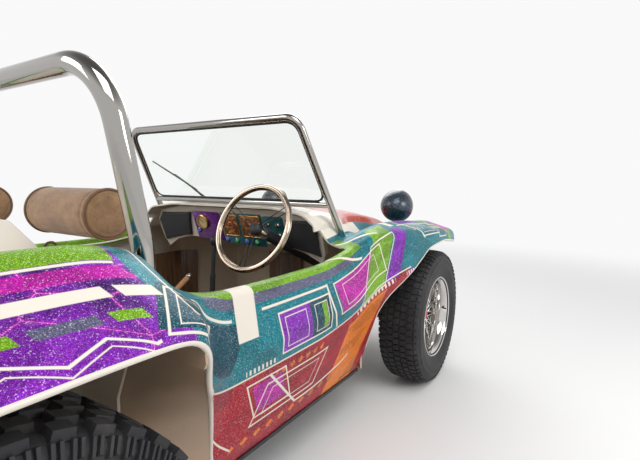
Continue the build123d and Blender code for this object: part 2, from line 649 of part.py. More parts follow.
FRONT_ARCH = [(506, 200), (489, 473), (510, 515), (635, 612), (768, 690), (850, 728), (1067, 745),
              (1201, 730), (1417, 700), (1800, 640), (1800, 200)]
REAR_ARCH = [(-406, 200), (-420, 300), (-560, 540), (-640, 700), (-668, 745), (-760, 768),
             (-1000, 772), (-1180, 740), (-1420, 640), (-1700, 600), (-1700, 200)]


# z, then the arch's front edge x and the skin's outer y there, then the bulkhead's edge y
WELL_LEVELS = [
    (SILL_Z, -408, 562, 554),
    (300, -420, 606, 548),
    (420, -490, 664, 548),
    (540, -560, 745, 548),
    (620, -600, 789, 575),
    (700, -640, 840, 602),
]
WELL_TOP = [(602, 690), (826, 690), (834, 702), (829, 742), (812, 762), (636, 860), (602, 860)]


def wheel_well():
    """The left wall that closes the cockpit off from the rear wheel."""
    levels = []
    for z, edge_x, edge_y, inner_y in WELL_LEVELS:
        ahead, across = edge_x - BULKHEAD_X, edge_y - SKIN - inner_y
        run = hypot(ahead, across)
        out = (-across / run * SKIN, ahead / run * SKIN)
        root = (BULKHEAD_X + SEAT_GAP - out[0], inner_y)
        rim = (edge_x - SEAT_GAP, edge_y - 1 - out[1])
        outline = [root, rim, (rim[0] + out[0], rim[1] + out[1]), (root[0] + out[0], root[1] + out[1])]
        levels.append(Pos(0, 0, z) * make_face(Polyline(*outline, close=True)))
    plate = extrude(station(BULKHEAD_X + SEAT_GAP) * make_face(Polyline(*WELL_TOP, close=True)), SKIN - 1)
    return fuse(loft(levels, ruled=True), plate)


def front_wing():
    """The left front wing, from the cowl to the nose."""
    return shell(FRONT_STATIONS, FRONT_RADII) - arch_cut(FRONT_ARCH)


def build_body():
    """Fibreglass skins: cockpit sides, front wings, rear deck, hood and cowl."""
    side = shell(SIDE_STATIONS, SIDE_RADII)
    rear_arch = arch_cut(REAR_ARCH)
    side = side - rear_arch
    save(both_sides(side), "body_sides")

    save(both_sides(front_wing()), "front_wings")

    deck = whole_shell(DECK_STATIONS, DECK_RADII)
    for prism in (rear_arch, mirror(rear_arch, Plane.XZ)):
        deck = deck - prism
    save(deck, "rear_deck")
    save(both_sides(wheel_well()), "wheel_wells")
    save(whole_shell(HOOD_STATIONS, HOOD_RADII), "hood")
    save(whole_shell(COWL_STATIONS, COWL_RADII), "cowl")

    start = NOSE_X + SEAT_GAP
    nose = side_profile([(start, 690), (NOSE_X + 35, 640), (NOSE_X + 54, 570), (NOSE_X + 42, 480),
                         (NOSE_X + 34, 482), (NOSE_X + 46, 570), (NOSE_X + 28, 636), (start, 680)],
                        -285, 285)
    save(nose, "nose_panel")

    wall = [(472, 585), (500, 560), (PAN_FRONT_X + 4, 352)]
    inside = offset_corners(wall, -SKIN)
    ring = wall + [(x, -y) for x, y in reversed(wall)] + [(x, -y) for x, y in inside]
    ring += list(reversed(inside))
    footwell = Pos(0, 0, PAN_Z + PAN_PRESS + SEAT_GAP) * extrude(
        make_face(Polyline(*ring, close=True)), 780 - PAN_Z - PAN_PRESS)
    hole = rod(tuple(along_column(600)), tuple(along_column(800)), COLUMN_R + 10)
    tunnel = box(PAN_FRONT_X - 80, PAN_FRONT_X + 80, -TUNNEL_HALF - 1, TUNNEL_HALF + 1, 0, TUNNEL_TOP + 1)
    save(footwell - hole - tunnel, "footwell")

    half = [(555, TORSION_Z + 50), (555, 560), (608, 680), (608, 830), (580, 866), (446, 833.8),
            (230, 853.8), (60, 920.5)]
    ring = half + [(-y, z) for y, z in reversed(half)]
    panel = extrude(station(BULKHEAD_X - SKIN) * make_face(Polyline(*ring, close=True)), SKIN)
    shelf = box(BULKHEAD_X - SKIN, -553, -455, 455, TORSION_Z + 44, TORSION_Z + 44 + SKIN)
    riser = box(-560, -553, -455, 455, PAN_Z + PAN_PRESS + SEAT_GAP, TORSION_Z + 48)
    tunnel = box(-700, -500, -TUNNEL_HALF - 1, TUNNEL_HALF + 1, 0, TUNNEL_TOP + 1)
    save(fuse(panel, shelf, riser) - tunnel, "rear_bulkhead")


def screen_point(y, share):
    """A point on the windscreen's plane: a distance across and a share of its height."""
    x = SCREEN_BASE_X + (SCREEN_TOP_X - SCREEN_BASE_X) * share
    return (x, y, SCREEN_BASE_Z + (SCREEN_TOP_Z - SCREEN_BASE_Z) * share)


def build_screen():
    """Windscreen frame, its glass and the wiper."""
    rise = hypot(SCREEN_TOP_Z - SCREEN_BASE_Z, SCREEN_BASE_X - SCREEN_TOP_X)
    up = Vector(SCREEN_TOP_X - SCREEN_BASE_X, 0, SCREEN_TOP_Z - SCREEN_BASE_Z).normalized()
    plane = Plane(origin=(SCREEN_BASE_X, 0, SCREEN_BASE_Z), x_dir=(0, 1, 0),
                  z_dir=Vector(0, 1, 0).cross(up))
    foot = (SCREEN_FOOT_Z - SCREEN_BASE_Z) / (SCREEN_TOP_Z - SCREEN_BASE_Z)
    foot_half = SCREEN_BASE_HALF + (SCREEN_TOP_HALF - SCREEN_BASE_HALF) * foot
    frame = pipe([screen_point(foot_half, foot), screen_point(SCREEN_TOP_HALF, 1),
                  screen_point(0, 1)], [SCREEN_CORNER], SCREEN_TUBE_R)
    frame += rod(screen_point(0, 0), screen_point(SCREEN_BASE_HALF - 3, 0), SCREEN_TUBE_R - 0.6)
    frame = (frame - front_wing()).solids().sort_by(SortBy.VOLUME)[-1]
    frame = fuse(frame, mirror(frame, Plane.XZ))
    edge = SCREEN_TUBE_R + SEAT_GAP
    lean = atan2(SCREEN_BASE_HALF - SCREEN_TOP_HALF, rise)
    base = SCREEN_BASE_HALF - edge / cos(lean) - edge * tan(lean)
    top = SCREEN_TOP_HALF - edge / cos(lean) + edge * tan(lean)
    outline = Polyline((-base, edge), (base, edge), (top, rise - edge), (-top, rise - edge), close=True)
    sheet = make_face(outline)
    sheet = fillet(sheet.vertices().group_by(Axis.Y)[-1], SCREEN_CORNER - edge)
    glass = extrude(plane * sheet, GLASS_THICK / 2, both=True)
    save(frame, "windscreen_frame")
    save(glass, "windscreen_glass")
    out = plane.z_dir if plane.z_dir.X > 0 else -plane.z_dir
    pivot = Vector(*screen_point(201, 0)) + out * (SCREEN_TUBE_R + 6)
    tip = Vector(*screen_point(330, 0.36)) + out * 14
    wiper = rod(tuple(pivot - out * 5.7), tuple(pivot + out * 12), 9)
    wiper += rod(tuple(pivot + out * 8), tuple(tip), 4)
    ends = [Vector(*screen_point(y, share)) + out * 8 for y, share in ((210, 0.14), (440, 0.56))]
    wiper += rod(tuple(ends[0]), tuple(ends[1]), 4)
    save(wiper, "wiper")


def build_hoop():
    """Single large roll hoop with its foot plates."""
    points = [(HOOP_BASE_X, -HOOP_BASE_Y, HOOP_BASE_Z), (HOOP_FOOT_X, -HOOP_Y, HOOP_KNEE_Z),
              (HOOP_TOP_X, -HOOP_Y, HOOP_TOP_Z), (HOOP_TOP_X, HOOP_Y, HOOP_TOP_Z),
              (HOOP_FOOT_X, HOOP_Y, HOOP_KNEE_Z), (HOOP_BASE_X, HOOP_BASE_Y, HOOP_BASE_Z)]
    hoop = pipe(points, [HOOP_KNEE, HOOP_CORNER, HOOP_CORNER, HOOP_KNEE], HOOP_TUBE_R)
    foot = box(HOOP_BASE_X - HOOP_FOOT, HOOP_BASE_X + HOOP_FOOT, HOOP_BASE_Y - HOOP_FOOT,
               HOOP_BASE_Y + HOOP_FOOT, PAN_Z + PAN_PRESS + SEAT_GAP, HOOP_BASE_Z + 13)
    hoop = fuse(hoop, foot, mirror(foot, Plane.XZ))
    save(hoop, "roll_hoop")


def build_seats():
    """Two low seats, narrower at the top, and their cylindrical head rolls."""
    low = PAN_Z + PAN_PRESS + PAN_RIB + SEAT_GAP
    outline = [(-40, low), (-52, 345), (-90, 362), (-400, 320), (-430, 330), (-430, low)]
    seat = side_profile(outline, SEAT_INNER_Y, SEAT_OUTER_Y)
    top = ROLL_Z - ROLL_R - SEAT_GAP
    outline = [(-429, low), (-429, 330), (-500, SEAT_WAIST_Z), (ROLL_X + 28, top),
               (ROLL_X - 28, top), (-575, SEAT_WAIST_Z), (-498, low)]
    back = side_profile(outline, SEAT_INNER_Y, ROLL_OUTER_Y)
    corner = Polyline((SEAT_INNER_Y - 1, SEAT_WAIST_Z), (ROLL_INNER_Y, top), (ROLL_INNER_Y, top + 1),
                      (SEAT_INNER_Y - 1, top + 1), close=True)
    back -= extrude(station(ROLL_X - 60) * make_face(corner), 240)
    save(both_sides(seat + back), "seats")
    roll = rod((ROLL_X, ROLL_INNER_Y, ROLL_Z), (ROLL_X, ROLL_OUTER_Y, ROLL_Z), ROLL_R)
    roll = fillet(roll.edges().filter_by(GeomType.CIRCLE), ROLL_EDGE)
    save(both_sides(roll), "head_rolls")


def build_controls():
    """Gear lever, handbrake and pedals."""
    lever = rod((150, 0, TUNNEL_TOP + SEAT_GAP), (150, 0, TUNNEL_TOP + 30), 38)
    lever += pipe([(150, 0, TUNNEL_TOP + 20), (156, 0, 560), (172, 0, 780)], [300], 9)
    lever += Pos(172, 0, 780) * Sphere(20)
    save(lever, "gear_lever")
    brake = box(-290, -170, -78, -42, TUNNEL_TOP - 12, TUNNEL_TOP + 40)
    brake -= box(-400, 0, -100, 100, TUNNEL_TOP - 200, TUNNEL_TOP + SEAT_GAP)
    brake += pipe([(-230, -60, TUNNEL_TOP + 30), (-130, -60, 590), (-20, -60, 664)], [80], 11)
    save(brake, "handbrake")
    pedals = []
    for y in (-170, -240, -330):
        pedals.append(box(640, 660, y - 8, y + 8, 240, 400) + box(622, 640, y - 28, y + 28, 350, 420))
    bar = rod((650, -350, 250), (650, -150, 250), 12)
    base = box(630, 672, -350, -150, PAN_Z + PAN_PRESS + SEAT_GAP, 250)
    save(fuse(base, bar, *pedals), "pedals")


def dash_piece(outline, start, thick):
    """A plate along the raked dash from its (y, z) outline; start is how far behind the face."""
    lean = atan(DASH_RAKE)
    plane = Plane(origin=(DASH_X, 0, DASH_Z), x_dir=(0, 1, 0), z_dir=(cos(lean), 0, sin(lean)))
    ring = [(y, (z - DASH_Z) / cos(lean)) for y, z in outline]
    face = plane.offset(start) * make_face(Polyline(*ring, close=True))
    return extrude(face, thick)


def plate(y0, y1, z0, z1):
    """The outline of a plain rectangle on the dash."""
    return [(y0, z0), (y1, z0), (y1, z1), (y0, z1)]


def build_dash():
    """Moulded dash panel with two padded insets, bare plates, a gauge and a button."""
    top = COWL_TOP - SKIN - SEAT_GAP - DASH_THICK * sin(atan(DASH_RAKE))
    half = [(290, 768), (320, 762), (400, 742), (478, 700), (500, 745), (503, 848), (455, 893), (300, top)]
    ring = half + [(-y, z) for y, z in reversed(half)]
    column_hole = rod(tuple(along_column(150)), tuple(along_column(400)), COLUMN_R + SEAT_GAP)
    save(dash_piece(ring, 0, DASH_THICK) - column_hole, "dash_panel")

    insets = [[(231, 899), (448, 888), (490, 846), (484, 732), (325, 765), (268, 772)],
              [(-330, 890), (-448, 888), (-490, 846), (-484, 732), (-330, 760), (-322, 790)]]
    pads = [dash_piece(inset, -DASH_PAD - SEAT_GAP, DASH_PAD) - column_hole for inset in insets]
    save(Compound([*pads[0].solids(), *pads[1].solids()]), "dash_pads")

    under = -DASH_PLATE - SEAT_GAP
    gauge = rod((0, 0, 0), (0, 0, -18), GAUGE_R)
    button = rod((0, 0, 0), (0, 0, -14), 9)
    lean = atan(DASH_RAKE)
    face = Plane(origin=(DASH_X, 0, DASH_Z), x_dir=(0, 1, 0), z_dir=(cos(lean), 0, sin(lean))).offset(under)
    gauge_plate = dash_piece(plate(50, 227, 765, 899), under, DASH_PLATE)
    for dial, y, z in ((gauge, 162, 851), (button, 204, 806)):
        gauge_plate += face.location * (Pos(y, (z - DASH_Z) / cos(lean), 0) * dial)
    wide_plate = dash_piece(plate(-202, 44, 752, 899), under, DASH_PLATE)
    for y0, y1 in ((-62, 34), (-196, -78)):
        wide_plate += dash_piece(plate(y0, y1, 792, 894), under - 3, 3)
    end_plate = dash_piece(plate(-318, -208, 780, 894), under, DASH_PLATE)
    pieces = [gauge_plate, wide_plate - column_hole, end_plate - column_hole]
    save(Compound([solid for piece in pieces for solid in piece.solids()]), "dash_plates")


def build_lamps():
    """Headlamps on stalks and tail lamps."""
    outline = make_face(Polyline((0, -120), (34, -108), (66, -72), (LAMP_R - 6, -22), (LAMP_R, -6),
                                 (LAMP_R, 12), (LAMP_R - 10, 12), (LAMP_R - 10, 0), (0, 0), close=True))
    bowl = revolve(Plane.XZ * outline, Axis.Z)
    bowl = Pos(LAMP_X, LAMP_Y, LAMP_Z) * (Rot(0, 90, 0) * bowl)
    stalk = rod((LAMP_X - 30, LAMP_Y, 742), (LAMP_X - 30, LAMP_Y, LAMP_Z - 70), 14)
    foot = rod((LAMP_X - 30, LAMP_Y, 742), (LAMP_X - 30, LAMP_Y, 752), 32)
    lamp = fuse(bowl, stalk, foot) - front_wing()
    save(both_sides(lamp.solids().sort_by(SortBy.VOLUME)[-1]), "headlamps")
    glass = rod((LAMP_X + SEAT_GAP, LAMP_Y, LAMP_Z), (LAMP_X + 11, LAMP_Y, LAMP_Z), LAMP_R - 10.3)
    save(both_sides(glass), "headlamp_glass")
    tail = rod((-1400.3, 640, 760), (-1440, 640, 760), 38)
    save(both_sides(tail), "tail_lamps")


def build_bumpers():
    """Tubular bars at the nose and round the engine."""
    front = pipe([(BEAM_X + 40, 300, 345), (HALF_LENGTH - 120, 330, 400), (HALF_LENGTH - BUMPER_R, 300, 430),
                  (HALF_LENGTH - BUMPER_R, -300, 430), (HALF_LENGTH - 120, -330, 400),
                  (BEAM_X + 40, -300, 345)], [90, 60, 60, 90], BUMPER_R)
    for side in (-1, 1):
        front += box(BEAM_X + BEAM_TUBE_R + SEAT_GAP, BEAM_X + 60, side * 300 - 22, side * 300 + 22,
                     255, 435)
    bar_x = HALF_LENGTH - BUMPER_R
    eye = box(bar_x - 14, bar_x + 14, -TOW_EYE_WIDTH / 2, TOW_EYE_WIDTH / 2, 370, 430)
    front += eye
    front -= rod((bar_x, -TOW_EYE_WIDTH, 388), (bar_x, TOW_EYE_WIDTH, 388), TOW_EYE_R)
    horn_side = HORN_OUTER_Y + SEAT_GAP
    rear_x = BUMPER_R - HALF_LENGTH
    rear = pipe([(-1086, horn_side, 425), (-1086, 405, 425), (rear_x + 208, 430, 360),
                 (rear_x, 380, 400), (rear_x, -380, 400),
                 (rear_x + 208, -430, 360), (-1086, -405, 425), (-1086, -horn_side, 425)],
                [60, 200, 60, 60, 200, 60], BUMPER_R)
    plate = box(-HALF_LENGTH + 10, -HALF_LENGTH + 18, -190, 190, 300, 400)
    for y in (-PLATE_BOLTS / 2, PLATE_BOLTS / 2):
        plate -= rod((-HALF_LENGTH, y, 335), (-HALF_LENGTH + 30, y, 335), PLATE_BOLT_R)
    save(Compound([*front.solids(), *fuse(rear, plate).solids()]), "bumpers")


if __name__ == "__main__":
    build_wheels()
    dampers = [*build_front_axle().solids(), *build_rear_axle().solids()]
    save(Compound(dampers), "dampers")
    build_steering()
    build_floor()
    build_engine()
    build_body()
    build_screen()
    build_hoop()
    build_seats()
    build_controls()
    build_dash()
    build_lamps()
    build_bumpers()
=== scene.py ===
from contextlib import contextmanager
from math import atan2, cos, hypot, pi, radians, sin

import bmesh
import bpy
import numpy as np
from mathutils import Matrix, Vector


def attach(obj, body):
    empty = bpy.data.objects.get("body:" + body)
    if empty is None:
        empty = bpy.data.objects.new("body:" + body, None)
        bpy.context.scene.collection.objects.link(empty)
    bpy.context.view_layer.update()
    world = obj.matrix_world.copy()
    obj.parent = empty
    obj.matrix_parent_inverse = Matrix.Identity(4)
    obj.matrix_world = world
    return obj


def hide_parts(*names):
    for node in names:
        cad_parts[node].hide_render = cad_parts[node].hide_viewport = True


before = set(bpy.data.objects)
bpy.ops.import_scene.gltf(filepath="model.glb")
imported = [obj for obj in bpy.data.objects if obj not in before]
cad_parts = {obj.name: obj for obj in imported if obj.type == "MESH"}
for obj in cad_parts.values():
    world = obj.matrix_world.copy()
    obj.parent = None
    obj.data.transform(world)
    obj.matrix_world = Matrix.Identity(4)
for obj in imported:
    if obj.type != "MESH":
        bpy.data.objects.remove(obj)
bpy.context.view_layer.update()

# Open beach buggy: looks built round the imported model, in metres.
# +X runs forward, +Y to the car's left, +Z up.

FRONT_X, REAR_X = 1.016, -1.016
FRONT_TYRE_R, REAR_TYRE_R = 0.345, 0.363
SKIN = 0.007


# Shader maths

class Value:
    """A node's output that takes part in ordinary arithmetic."""

    def __init__(self, finish, socket):
        self.finish, self.socket = finish, socket

    def maths(self, operation, *others):
        values = dict(enumerate((self, *others)))
        return self.finish.node("ShaderNodeMath", {"operation": operation}, values)

    def __add__(self, other):
        return self.maths("ADD", other)

    __radd__ = __add__

    def __sub__(self, other):
        return self.maths("SUBTRACT", other)

    def __rsub__(self, other):
        return self.finish.node("ShaderNodeMath", {"operation": "SUBTRACT"}, {0: other, 1: self})

    def __mul__(self, other):
        return self.maths("MULTIPLY", other)

    __rmul__ = __mul__

    def __neg__(self):
        return self.maths("MULTIPLY", -1.0)

    def __abs__(self):
        return self.maths("ABSOLUTE")

    def most(self, other):
        return self.maths("MAXIMUM", other)

    def wave(self):
        return self.maths("SINE")

    def fold(self, period):
        """Distance to the nearest multiple of twice the period, so that stripes repeat."""
        return self.maths("PINGPONG", period)

    def ramp(self, low, high, to_low=0.0, to_high=1.0):
        """Runs smoothly from one value to another between two limits."""
        return self.finish.node("ShaderNodeMapRange", {"interpolation_type": "SMOOTHSTEP"},
                                {"Value": self, "From Min": low, "From Max": high,
                                 "To Min": to_low, "To Max": to_high})


class Nodes:
    """A node tree, built node by node."""

    def __init__(self, tree):
        self.tree = tree
        tree.nodes.clear()

    def put(self, socket, value):
        """Links a socket to a value, or sets the number or colour that it holds."""
        if isinstance(value, Value):
            self.tree.links.new(value.socket, socket)
        elif socket.type == "RGBA":
            socket.default_value = (*value, 1.0)
        else:
            socket.default_value = value

    def node(self, kind, settings, values, out=0):
        """Any node: its type, its settings and what its sockets hold."""
        made = self.tree.nodes.new(kind)
        for key, value in settings.items():
            if key == "stops":
                ramp = made.color_ramp
                while len(ramp.elements) < len(value):
                    ramp.elements.new(0.5)
                for element, (place, colour) in zip(ramp.elements, value):
                    element.position = place
                    element.color = (*colour, 1.0)
            else:
                setattr(made, key, value)
        for key, value in values.items():
            self.put(made.inputs[key], value)
        return Value(self, made.outputs[out])

    def end(self, kind, surface):
        """The tree's output node, showing a surface."""
        output = self.tree.nodes.new(kind)
        self.put(output.inputs[0], surface)
        return output

    def place(self):
        """Position on the object in metres."""
        return self.node("ShaderNodeTexCoord", {}, {}, "Object")

    def parts(self, vector):
        """The three numbers of a vector."""
        first = self.node("ShaderNodeSeparateXYZ", {}, {0: vector})
        return [Value(self, socket) for socket in first.socket.node.outputs]

    def vectors(self, operation, *values):
        return self.node("ShaderNodeVectorMath", {"operation": operation}, dict(enumerate(values)))

    def mix(self, factor, low, high, blend="MIX"):
        """A colour between two colours."""
        return self.node("ShaderNodeMix", {"data_type": "RGBA", "blend_type": blend},
                         {0: factor, 6: low, 7: high}, 2)

    def noise(self, scale, detail=2.0, rough=0.5, where=None):
        return self.node("ShaderNodeTexNoise", {}, {"Vector": where or self.place(), "Scale": scale,
                                                    "Detail": detail, "Roughness": rough})

    def cells(self, scale, where=None, out="Color", feature="F1"):
        return self.node("ShaderNodeTexVoronoi", {"feature": feature},
                         {"Vector": where or self.place(), "Scale": scale}, out)


class Finish(Nodes):
    """One procedural material."""

    def __init__(self, name, **fixed):
        self.material = bpy.data.materials.new(name)
        self.material.use_nodes = True
        super().__init__(self.material.node_tree)
        self.surface = self.node("ShaderNodeBsdfPrincipled", {}, {})
        self.output = self.end("ShaderNodeOutputMaterial", self.surface)
        self.show(**fixed)

    def show(self, **values):
        """Gives the shader's sockets their numbers, colours or links."""
        sockets = self.surface.socket.node.inputs
        for name, value in values.items():
            self.put(sockets[name.replace("_", " ")], value)
        return self

    def bumps(self, height, distance, strength=1.0):
        """Puts a height field in metres on the surface."""
        self.show(Normal=self.node("ShaderNodeBump", {}, {"Height": height, "Distance": distance,
                                                          "Strength": strength}))


# Mesh helpers

def new_object(name, verts, faces, finish=None, smooth=True):
    mesh = bpy.data.meshes.new(name)
    mesh.from_pydata([tuple(map(float, v)) for v in verts], [], faces)
    mesh.update()
    thing = bpy.data.objects.new(name, mesh)
    bpy.context.scene.collection.objects.link(thing)
    if finish:
        mesh.materials.append(finish.material)
    for face in mesh.polygons:
        face.use_smooth = smooth
    return thing


def settle(piece, node, body="chassis"):
    """Says what a piece stands for and what it rides on."""
    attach(piece, body)
    if node:
        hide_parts(node)


def modifier(thing, kind, **settings):
    made = thing.modifiers.new(kind.lower(), kind)
    for key, value in settings.items():
        setattr(made, key, value)
    return made


def bake_modifiers(thing):
    """Turns a piece's modifiers into mesh."""
    graph = bpy.context.evaluated_depsgraph_get()
    mesh = bpy.data.meshes.new_from_object(thing.evaluated_get(graph))
    thing.modifiers.clear()
    thing.data = mesh
    return thing


def softened(thing, width, segments=3):
    """Rounds a piece's edges."""
    modifier(thing, "BEVEL", width=width, segments=segments)
    return bake_modifiers(thing)


@contextmanager
def opened(thing):
    """A piece's mesh, open for editing."""
    made = bmesh.new()
    made.from_mesh(thing.data)
    yield made
    made.to_mesh(thing.data)
    made.free()


def sharpen(thing, angle=35):
    """Keeps edges steeper than an angle crisp under smooth shading."""
    with opened(thing) as made:
        for edge in made.edges:
            edge.smooth = len(edge.link_faces) != 2 or edge.calc_face_angle(0) < radians(angle)
        for face in made.faces:
            face.smooth = True
    return thing


def fix_normals(thing):
    """Joins points that lie on each other and turns every face outwards."""
    with opened(thing) as made:
        bmesh.ops.remove_doubles(made, verts=made.verts, dist=1e-6)
        bmesh.ops.recalc_face_normals(made, faces=made.faces)
    return thing


def grid_faces(rows, wide, rows_meet=False, ends_meet=True):
    """Four-sided faces over rows of points. The last row may meet the first, and each row its own start."""
    faces = []
    for row in range(rows if rows_meet else rows - 1):
        here, after = row * wide, (row + 1) % rows * wide
        for step in range(wide if ends_meet else wide - 1):
            beside = (step + 1) % wide
            faces.append((here + step, here + beside, after + beside, after + step))
    return faces


def capped(rows, wide):
    """The faces of a closed form through rows of points."""
    count = rows * wide
    return [tuple(reversed(range(wide))), tuple(range(count - wide, count))] + grid_faces(rows, wide)


def extruded(name, near, far, finish=None, smooth=True):
    """A closed form between two outlines with as many points."""
    count = len(near)
    ends = [tuple(range(count)), tuple(reversed(range(count, 2 * count)))]
    return fix_normals(new_object(name, [*near, *far], ends + grid_faces(2, count), finish, smooth))


def block(name, low, high, finish, bevel):
    """A box with softened edges."""
    (x0, y0, z0), (x1, y1, z1) = low, high
    plan = [(x0, y0), (x1, y0), (x1, y1), (x0, y1)]
    made = extruded(name, [(x, y, z0) for x, y in plan], [(x, y, z1) for x, y in plan], finish)
    return sharpen(softened(made, bevel))


def join(name, things):
    """One piece from several, materials kept."""
    with bpy.context.temp_override(active_object=things[0], selected_editable_objects=things,
                                   selected_objects=things):
        bpy.ops.object.join()
    things[0].name = name
    return things[0]


def smooth_at(xs, rows, x):
    """Monotone cubic interpolation of a table's rows at x."""
    xs, rows = np.asarray(xs, float), np.asarray(rows, float)
    index = int(np.clip(np.searchsorted(xs, x) - 1, 0, len(xs) - 2))
    steps = np.diff(xs)[:, None]
    slopes = np.diff(rows, axis=0) / steps
    tangents = np.zeros_like(rows)
    tangents[0], tangents[-1] = slopes[0], slopes[-1]
    same = slopes[:-1] * slopes[1:] > 0
    with np.errstate(divide="ignore", invalid="ignore"):
        mean = (steps[:-1] + steps[1:]) / (steps[1:] / slopes[:-1] + steps[:-1] / slopes[1:])
    tangents[1:-1] = np.where(same, mean, 0)
    step = xs[index + 1] - xs[index]
    t = (x - xs[index]) / step
    return ((2 * t**3 - 3 * t**2 + 1) * rows[index] + (t**3 - 2 * t**2 + t) * step * tangents[index]
            + (3 * t**2 - 2 * t**3) * rows[index + 1] + (t**3 - t**2) * step * tangents[index + 1])


ARC, RUNS = 7, 5  # points along each rounded corner and each straight run of an outline


def rounded(points, radii):
    """An open outline with rounded corners, always with the same number of points."""
    points = [np.asarray(p, float) for p in points]
    out, at = [], points[0]
    for before, corner, after, radius in zip(points, points[1:], points[2:], radii):
        back, ahead = before - corner, after - corner
        back_long, ahead_long = np.linalg.norm(back), np.linalg.norm(ahead)
        back, ahead = back / back_long, ahead / ahead_long
        half = 0.5 * np.arccos(np.clip(np.dot(back, ahead), -0.9999, 0.9999))
        reach = min(radius / np.tan(half), 0.48 * back_long, 0.48 * ahead_long)
        start, end = corner + back * reach, corner + ahead * reach
        out += [at + (start - at) * t for t in np.linspace(0, 1, RUNS, endpoint=False)]
        out += [bend(start, corner, end, t) for t in np.linspace(0, 1, ARC, endpoint=False)]
        at = end
    out += [at + (points[-1] - at) * t for t in np.linspace(0, 1, RUNS)]
    return np.array(out)


def bend(start, corner, end, t):
    """A point on the curve that rounds a corner off."""
    return (1 - t)**2 * start + 2 * t * (1 - t) * corner + t**2 * end


def ring_line(outline, radius, arc=5):
    """A closed outline with rounded corners, as points."""
    points = [Vector(p) for p in outline]
    line = []
    for before, corner, after in zip(points[-1:] + points[:-1], points, points[1:] + points[:1]):
        start, end = (corner + (other - corner).normalized() * min(radius, (other - corner).length * 0.45)
                      for other in (before, after))
        line += [bend(start, corner, end, t) for t in np.linspace(0, 1, arc)]
    return line


def spline(points, count):
    """Points along a smooth curve through given ones."""
    points = np.asarray(points, float)
    gaps = np.linalg.norm(np.diff(points, axis=0), axis=1)
    along = np.concatenate([[0], np.cumsum(gaps)])
    return np.array([smooth_at(along, points, t) for t in np.linspace(0, along[-1], count)])


def tube(name, points, radius, finish, sides=12, closed=False):
    """A round bar or bead swept along points, of one radius or one for each point."""
    points = [Vector(p) for p in points]
    count = len(points)
    radii = radius if isinstance(radius, (list, np.ndarray)) else [radius] * count
    verts, normal = [], None
    for index, (point, size) in enumerate(zip(points, radii)):
        ahead = points[(index + 1) % count] if closed or index + 1 < count else point
        back = points[index - 1] if closed or index else point
        tangent = (ahead - back).normalized()
        if normal is None:
            normal = tangent.orthogonal().normalized()
        normal = (normal - tangent * normal.dot(tangent)).normalized()
        side = tangent.cross(normal)
        for turn in range(sides):
            angle = 2 * pi * turn / sides
            verts.append(point + (normal * cos(angle) + side * sin(angle)) * size)
    faces = grid_faces(count, sides, closed) if closed else capped(count, sides)
    return new_object(name, verts, faces, finish)


SPIN = {  # where a point lies: its offset along the axle, then sine and cosine times its radius
    "X": lambda offset, up, across: (offset, across, up),
    "Y": lambda offset, up, across: (up, offset, across),
    "Z": lambda offset, up, across: (across, up, offset),
}


def spun(name, profile, centre, finish, axis="Y", steps=96, closed=True):
    """A turned piece: (offset along the axle, radius) points spun about the axle."""
    turns = [2 * pi * step / steps for step in range(steps)]
    verts = [SPIN[axis](offset, radius * sin(turn), radius * cos(turn))
             for turn in turns for offset, radius in profile]
    made = new_object(name, verts, grid_faces(steps, len(profile), True, closed), finish)
    made.data.transform(Matrix.Translation(centre))
    return fix_normals(made)


def both(left):
    """A piece on the left and its twin on the car's other side."""
    twin = left.copy()
    twin.data = left.data.copy()
    twin.name = left.name.replace("left", "right")
    bpy.context.scene.collection.objects.link(twin)
    twin.data.transform(Matrix.Diagonal((1, -1, 1, 1)))
    twin.data.flip_normals()
    return left, twin


# Finishes

CREAM = (0.76, 0.70, 0.60)
LIME = (0.16, 0.34, 0.010)
TEAL = (0.0, 0.165, 0.205)
DEEP_TEAL = (0.0, 0.055, 0.085)
PURPLE = (0.20, 0.015, 0.38)
DEEP_PURPLE = (0.042, 0.003, 0.115)
MAGENTA = (0.46, 0.010, 0.33)
LILAC = (0.80, 0.22, 0.85)
CRIMSON = (0.34, 0.004, 0.018)
ORANGE = (0.70, 0.17, 0.006)
GREY = (0.10, 0.10, 0.17)
CORAL = (0.60, 0.085, 0.05)


BLOCK_EDGE, LINE_EDGE = 0.0012, 0.001  # how softly painted blocks and pinstripes end


def beyond(value, low, high):
    """How far a value is outside two limits, negative between them."""
    return abs(value - (low + high) / 2) - (high - low) / 2


def filled(distance, edge=LINE_EDGE):
    """A mask of where a distance is negative."""
    return (-distance).ramp(-edge, edge)


def slab(u, v, row):
    """A slanted block: its limits along u and v and how far u leans with v."""
    u0, u1, v0, v1, lean = row
    return filled(beyond(u - v * lean, u0, u1).most(beyond(v, v0, v1)), BLOCK_EDGE)


def stroke(u, v, row):
    """A straight pinstripe between two points of the unrolled skin."""
    start, end, half = row
    reach = hypot(end[0] - start[0], end[1] - start[1])
    du, dv = (end[0] - start[0]) / reach, (end[1] - start[1]) / reach
    mu, mv = (start[0] + end[0]) / 2, (start[1] + end[1]) / 2
    along = abs((u - mu) * du + (v - mv) * dv) - reach / 2
    across = abs((u - mu) * -dv + (v - mv) * du) - half
    return filled(along.most(across))


def zigzag(u, v, row):
    """A chevron pinstripe: its ends, middle, rise, half pitch and half width."""
    start, end, middle, rise, pitch, half = row
    across = abs(v - (u - start).fold(pitch) * (rise / pitch) - middle) - half
    return filled(beyond(u, start, end).most(across))


def outline_loop(u, v, row):
    """The pinstriped edge of a slanted block: the block, then its half width."""
    u0, u1, v0, v1, lean, half = row
    return filled(abs(beyond(u - v * lean, u0, u1).most(beyond(v, v0, v1))) - half)


